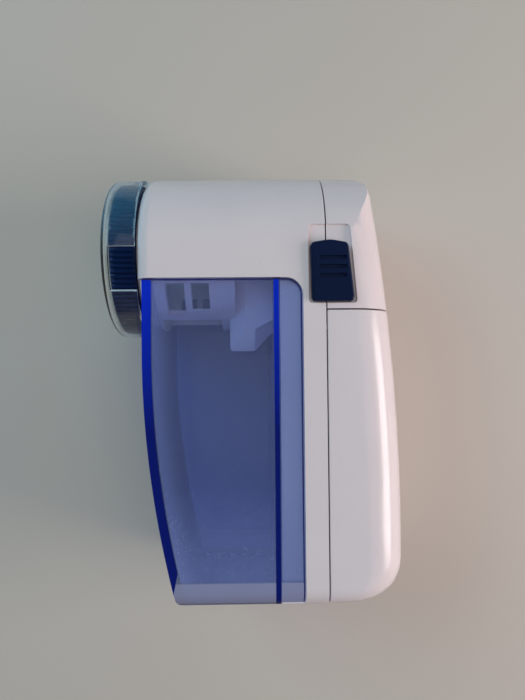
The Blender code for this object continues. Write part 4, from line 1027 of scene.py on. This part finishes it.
def make_slider():
    """The button's crowned cap with three grooves, on its stem."""
    outline = rounded(
        [
            (SLIDER_LOW.x + SLIDER_LEAN[0], SLIDER_LOW.y, SLIDER_CORNER),
            (SLIDER_HIGH.x, SLIDER_LOW.y, SLIDER_CORNER),
            (SLIDER_HIGH.x - SLIDER_LEAN[1], SHOULDER_Y, SHOULDER_CORNER),
            (CROWN_X, SLIDER_HIGH.y, CROWN_R),
            (SLIDER_LOW.x, SHOULDER_Y, SHOULDER_CORNER),
        ],
        8,
    )
    shape = slab(outline, SLIDER_BOTTOM, SLIDER_HIGH.z, at_xyz)
    top_edges = [e for e in shape.edges if all(v.co.z > SLIDER_HIGH.z - 1e-6 for v in e.verts)]
    bmesh.ops.bevel(
        shape,
        geom=top_edges,
        offset=SLIDER_TOP_ROUND,
        segments=4,
        profile=0.5,
        affect="EDGES",
        clamp_overlap=True,
    )
    shape = combine(shape, [slider_groove(y) for y in GROOVES_Y], "DIFFERENCE")
    stem_top = SLIDER_BOTTOM + STEM_OVERLAP
    stem = block((STEM_X[0], STEM_Y[0], SLIDER_LOW.z), (STEM_X[1], STEM_Y[1], stem_top))
    shape = combine(shape, [stem], "UNION")
    slider = piece("slide_button", shape, NAVY, "switch", "switch_slider")
    refine(slider, 0.00008)


make_slider()

# ---------------------------------------------------------------- blade spring


def make_spring():
    """A wire coil between the sleeve's collar and the blade carrier."""
    low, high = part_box("blade_spring")
    wire = 0.00028
    radius = (high.z - low.z) / 2 - wire
    turns, per_turn = 3, 28
    curve = bpy.data.curves.new("coil_spring", "CURVE")
    curve.dimensions = "3D"
    curve.bevel_depth = wire
    curve.bevel_resolution = 3
    curve.use_fill_caps = True
    spline = curve.splines.new("POLY")
    spline.points.add(turns * per_turn)
    for k, point in enumerate(spline.points):
        angle = 2 * math.pi * k / per_turn
        x = low.x + wire + (high.x - low.x - 2 * wire) * k / (turns * per_turn)
        point.co = (x, AXIS.y + radius * math.cos(angle), AXIS.z + radius * math.sin(angle), 1.0)
    guide = bpy.data.objects.new("coil_guide", curve)
    bpy.context.scene.collection.objects.link(guide)
    graph = bpy.context.evaluated_depsgraph_get()
    shape = bmesh.new()
    shape.from_mesh(bpy.data.meshes.new_from_object(guide.evaluated_get(graph)))
    bmesh.ops.remove_doubles(shape, verts=shape.verts, dist=1e-7)
    bpy.data.objects.remove(guide, do_unlink=True)
    spring = piece("coil_spring", shape, STEEL, "rotor", "blade_spring")
    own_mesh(spring)


make_spring()

# ---------------------------------------------------------------- floor, lights and camera

FLOOR_DARK = (0.610, 0.545, 0.490)
FLOOR_LIGHT = (0.645, 0.578, 0.518)
WORLD_COLOUR, WORLD_STRENGTH = (0.84, 0.93, 1.0), 0.13
CAMERA_SPOT = (0.00035, AXIS.y - 0.02827, 0.167)
CAMERA_TURN = (0.0262, -0.0140, -0.0087)
CAMERA_LENS = 27.57

# Each lamp's name, place, target, size, power in watts, colour, and whether gloss reflects it
LAMPS = (
    ("window", (0.56, -0.08, 0.21), (0.0, -0.02, 0.02), (0.34, 0.26), 2.4, (1.0, 0.90, 0.88), True),
    ("overhead", (0.15, -0.04, 0.90), (0.0, 0.0, 0.0), (1.0, 1.0), 2.30, (1.0, 0.94, 0.91), False),
    ("sky", (-0.55, 0.35, 0.45), (0.0, 0.0, 0.02), (0.6, 0.5), 2.6, (0.52, 0.86, 1.0), False),
)


def make_floor():
    shape = bmesh.new()
    bmesh.ops.create_grid(shape, x_segments=1, y_segments=1, size=3.0)
    floor = linked("floor", shape)
    made, tree, out = blank("pale_floor")
    vector = place(tree)
    base = mix(tree, noise(tree, vector, 9, 3), FLOOR_DARK, FLOOR_LIGHT)
    shader = node(
        tree,
        "BsdfPrincipled",
        {
            "Base Color": base,
            "Roughness": 0.55,
            "Normal": bumped(tree, noise(tree, vector, 700, 3), 0.15, 0.0001),
        },
    )
    tree.links.new(shader.outputs[0], out.inputs["Surface"])
    floor.data.materials.append(made)


def make_light(name, spot, target, size, power, colour, shines):
    """A soft rectangular lamp. One that doesn't shine lights matt surfaces only."""
    data = bpy.data.lights.new(name, "AREA")
    data.shape = "RECTANGLE"
    data.size, data.size_y = size
    data.energy = power
    data.color = colour
    light = bpy.data.objects.new(name, data)
    bpy.context.scene.collection.objects.link(light)
    light.location = spot
    light.rotation_euler = (Vector(target) - Vector(spot)).to_track_quat("-Z", "Y").to_euler()
    light.visible_glossy = shines


def make_world():
    world = bpy.data.worlds.new("studio")
    world.use_nodes = True
    background = world.node_tree.nodes["Background"]
    background.inputs["Color"].default_value = rgba(WORLD_COLOUR)
    background.inputs["Strength"].default_value = WORLD_STRENGTH
    bpy.context.scene.world = world
    bpy.context.scene.view_settings.view_transform = "Standard"


def make_camera():
    """Above the object and nearly straight down, up being +Y, as a phone is held."""
    data = bpy.data.cameras.new("camera")
    data.lens = CAMERA_LENS
    data.clip_start = 0.005
    data.clip_end = 20.0
    camera = bpy.data.objects.new("camera", data)
    bpy.context.scene.collection.objects.link(camera)
    camera.location = CAMERA_SPOT
    camera.rotation_euler = CAMERA_TURN
    bpy.context.scene.camera = camera


make_floor()
make_world()
for lamp in LAMPS:
    make_light(*lamp)
make_camera()
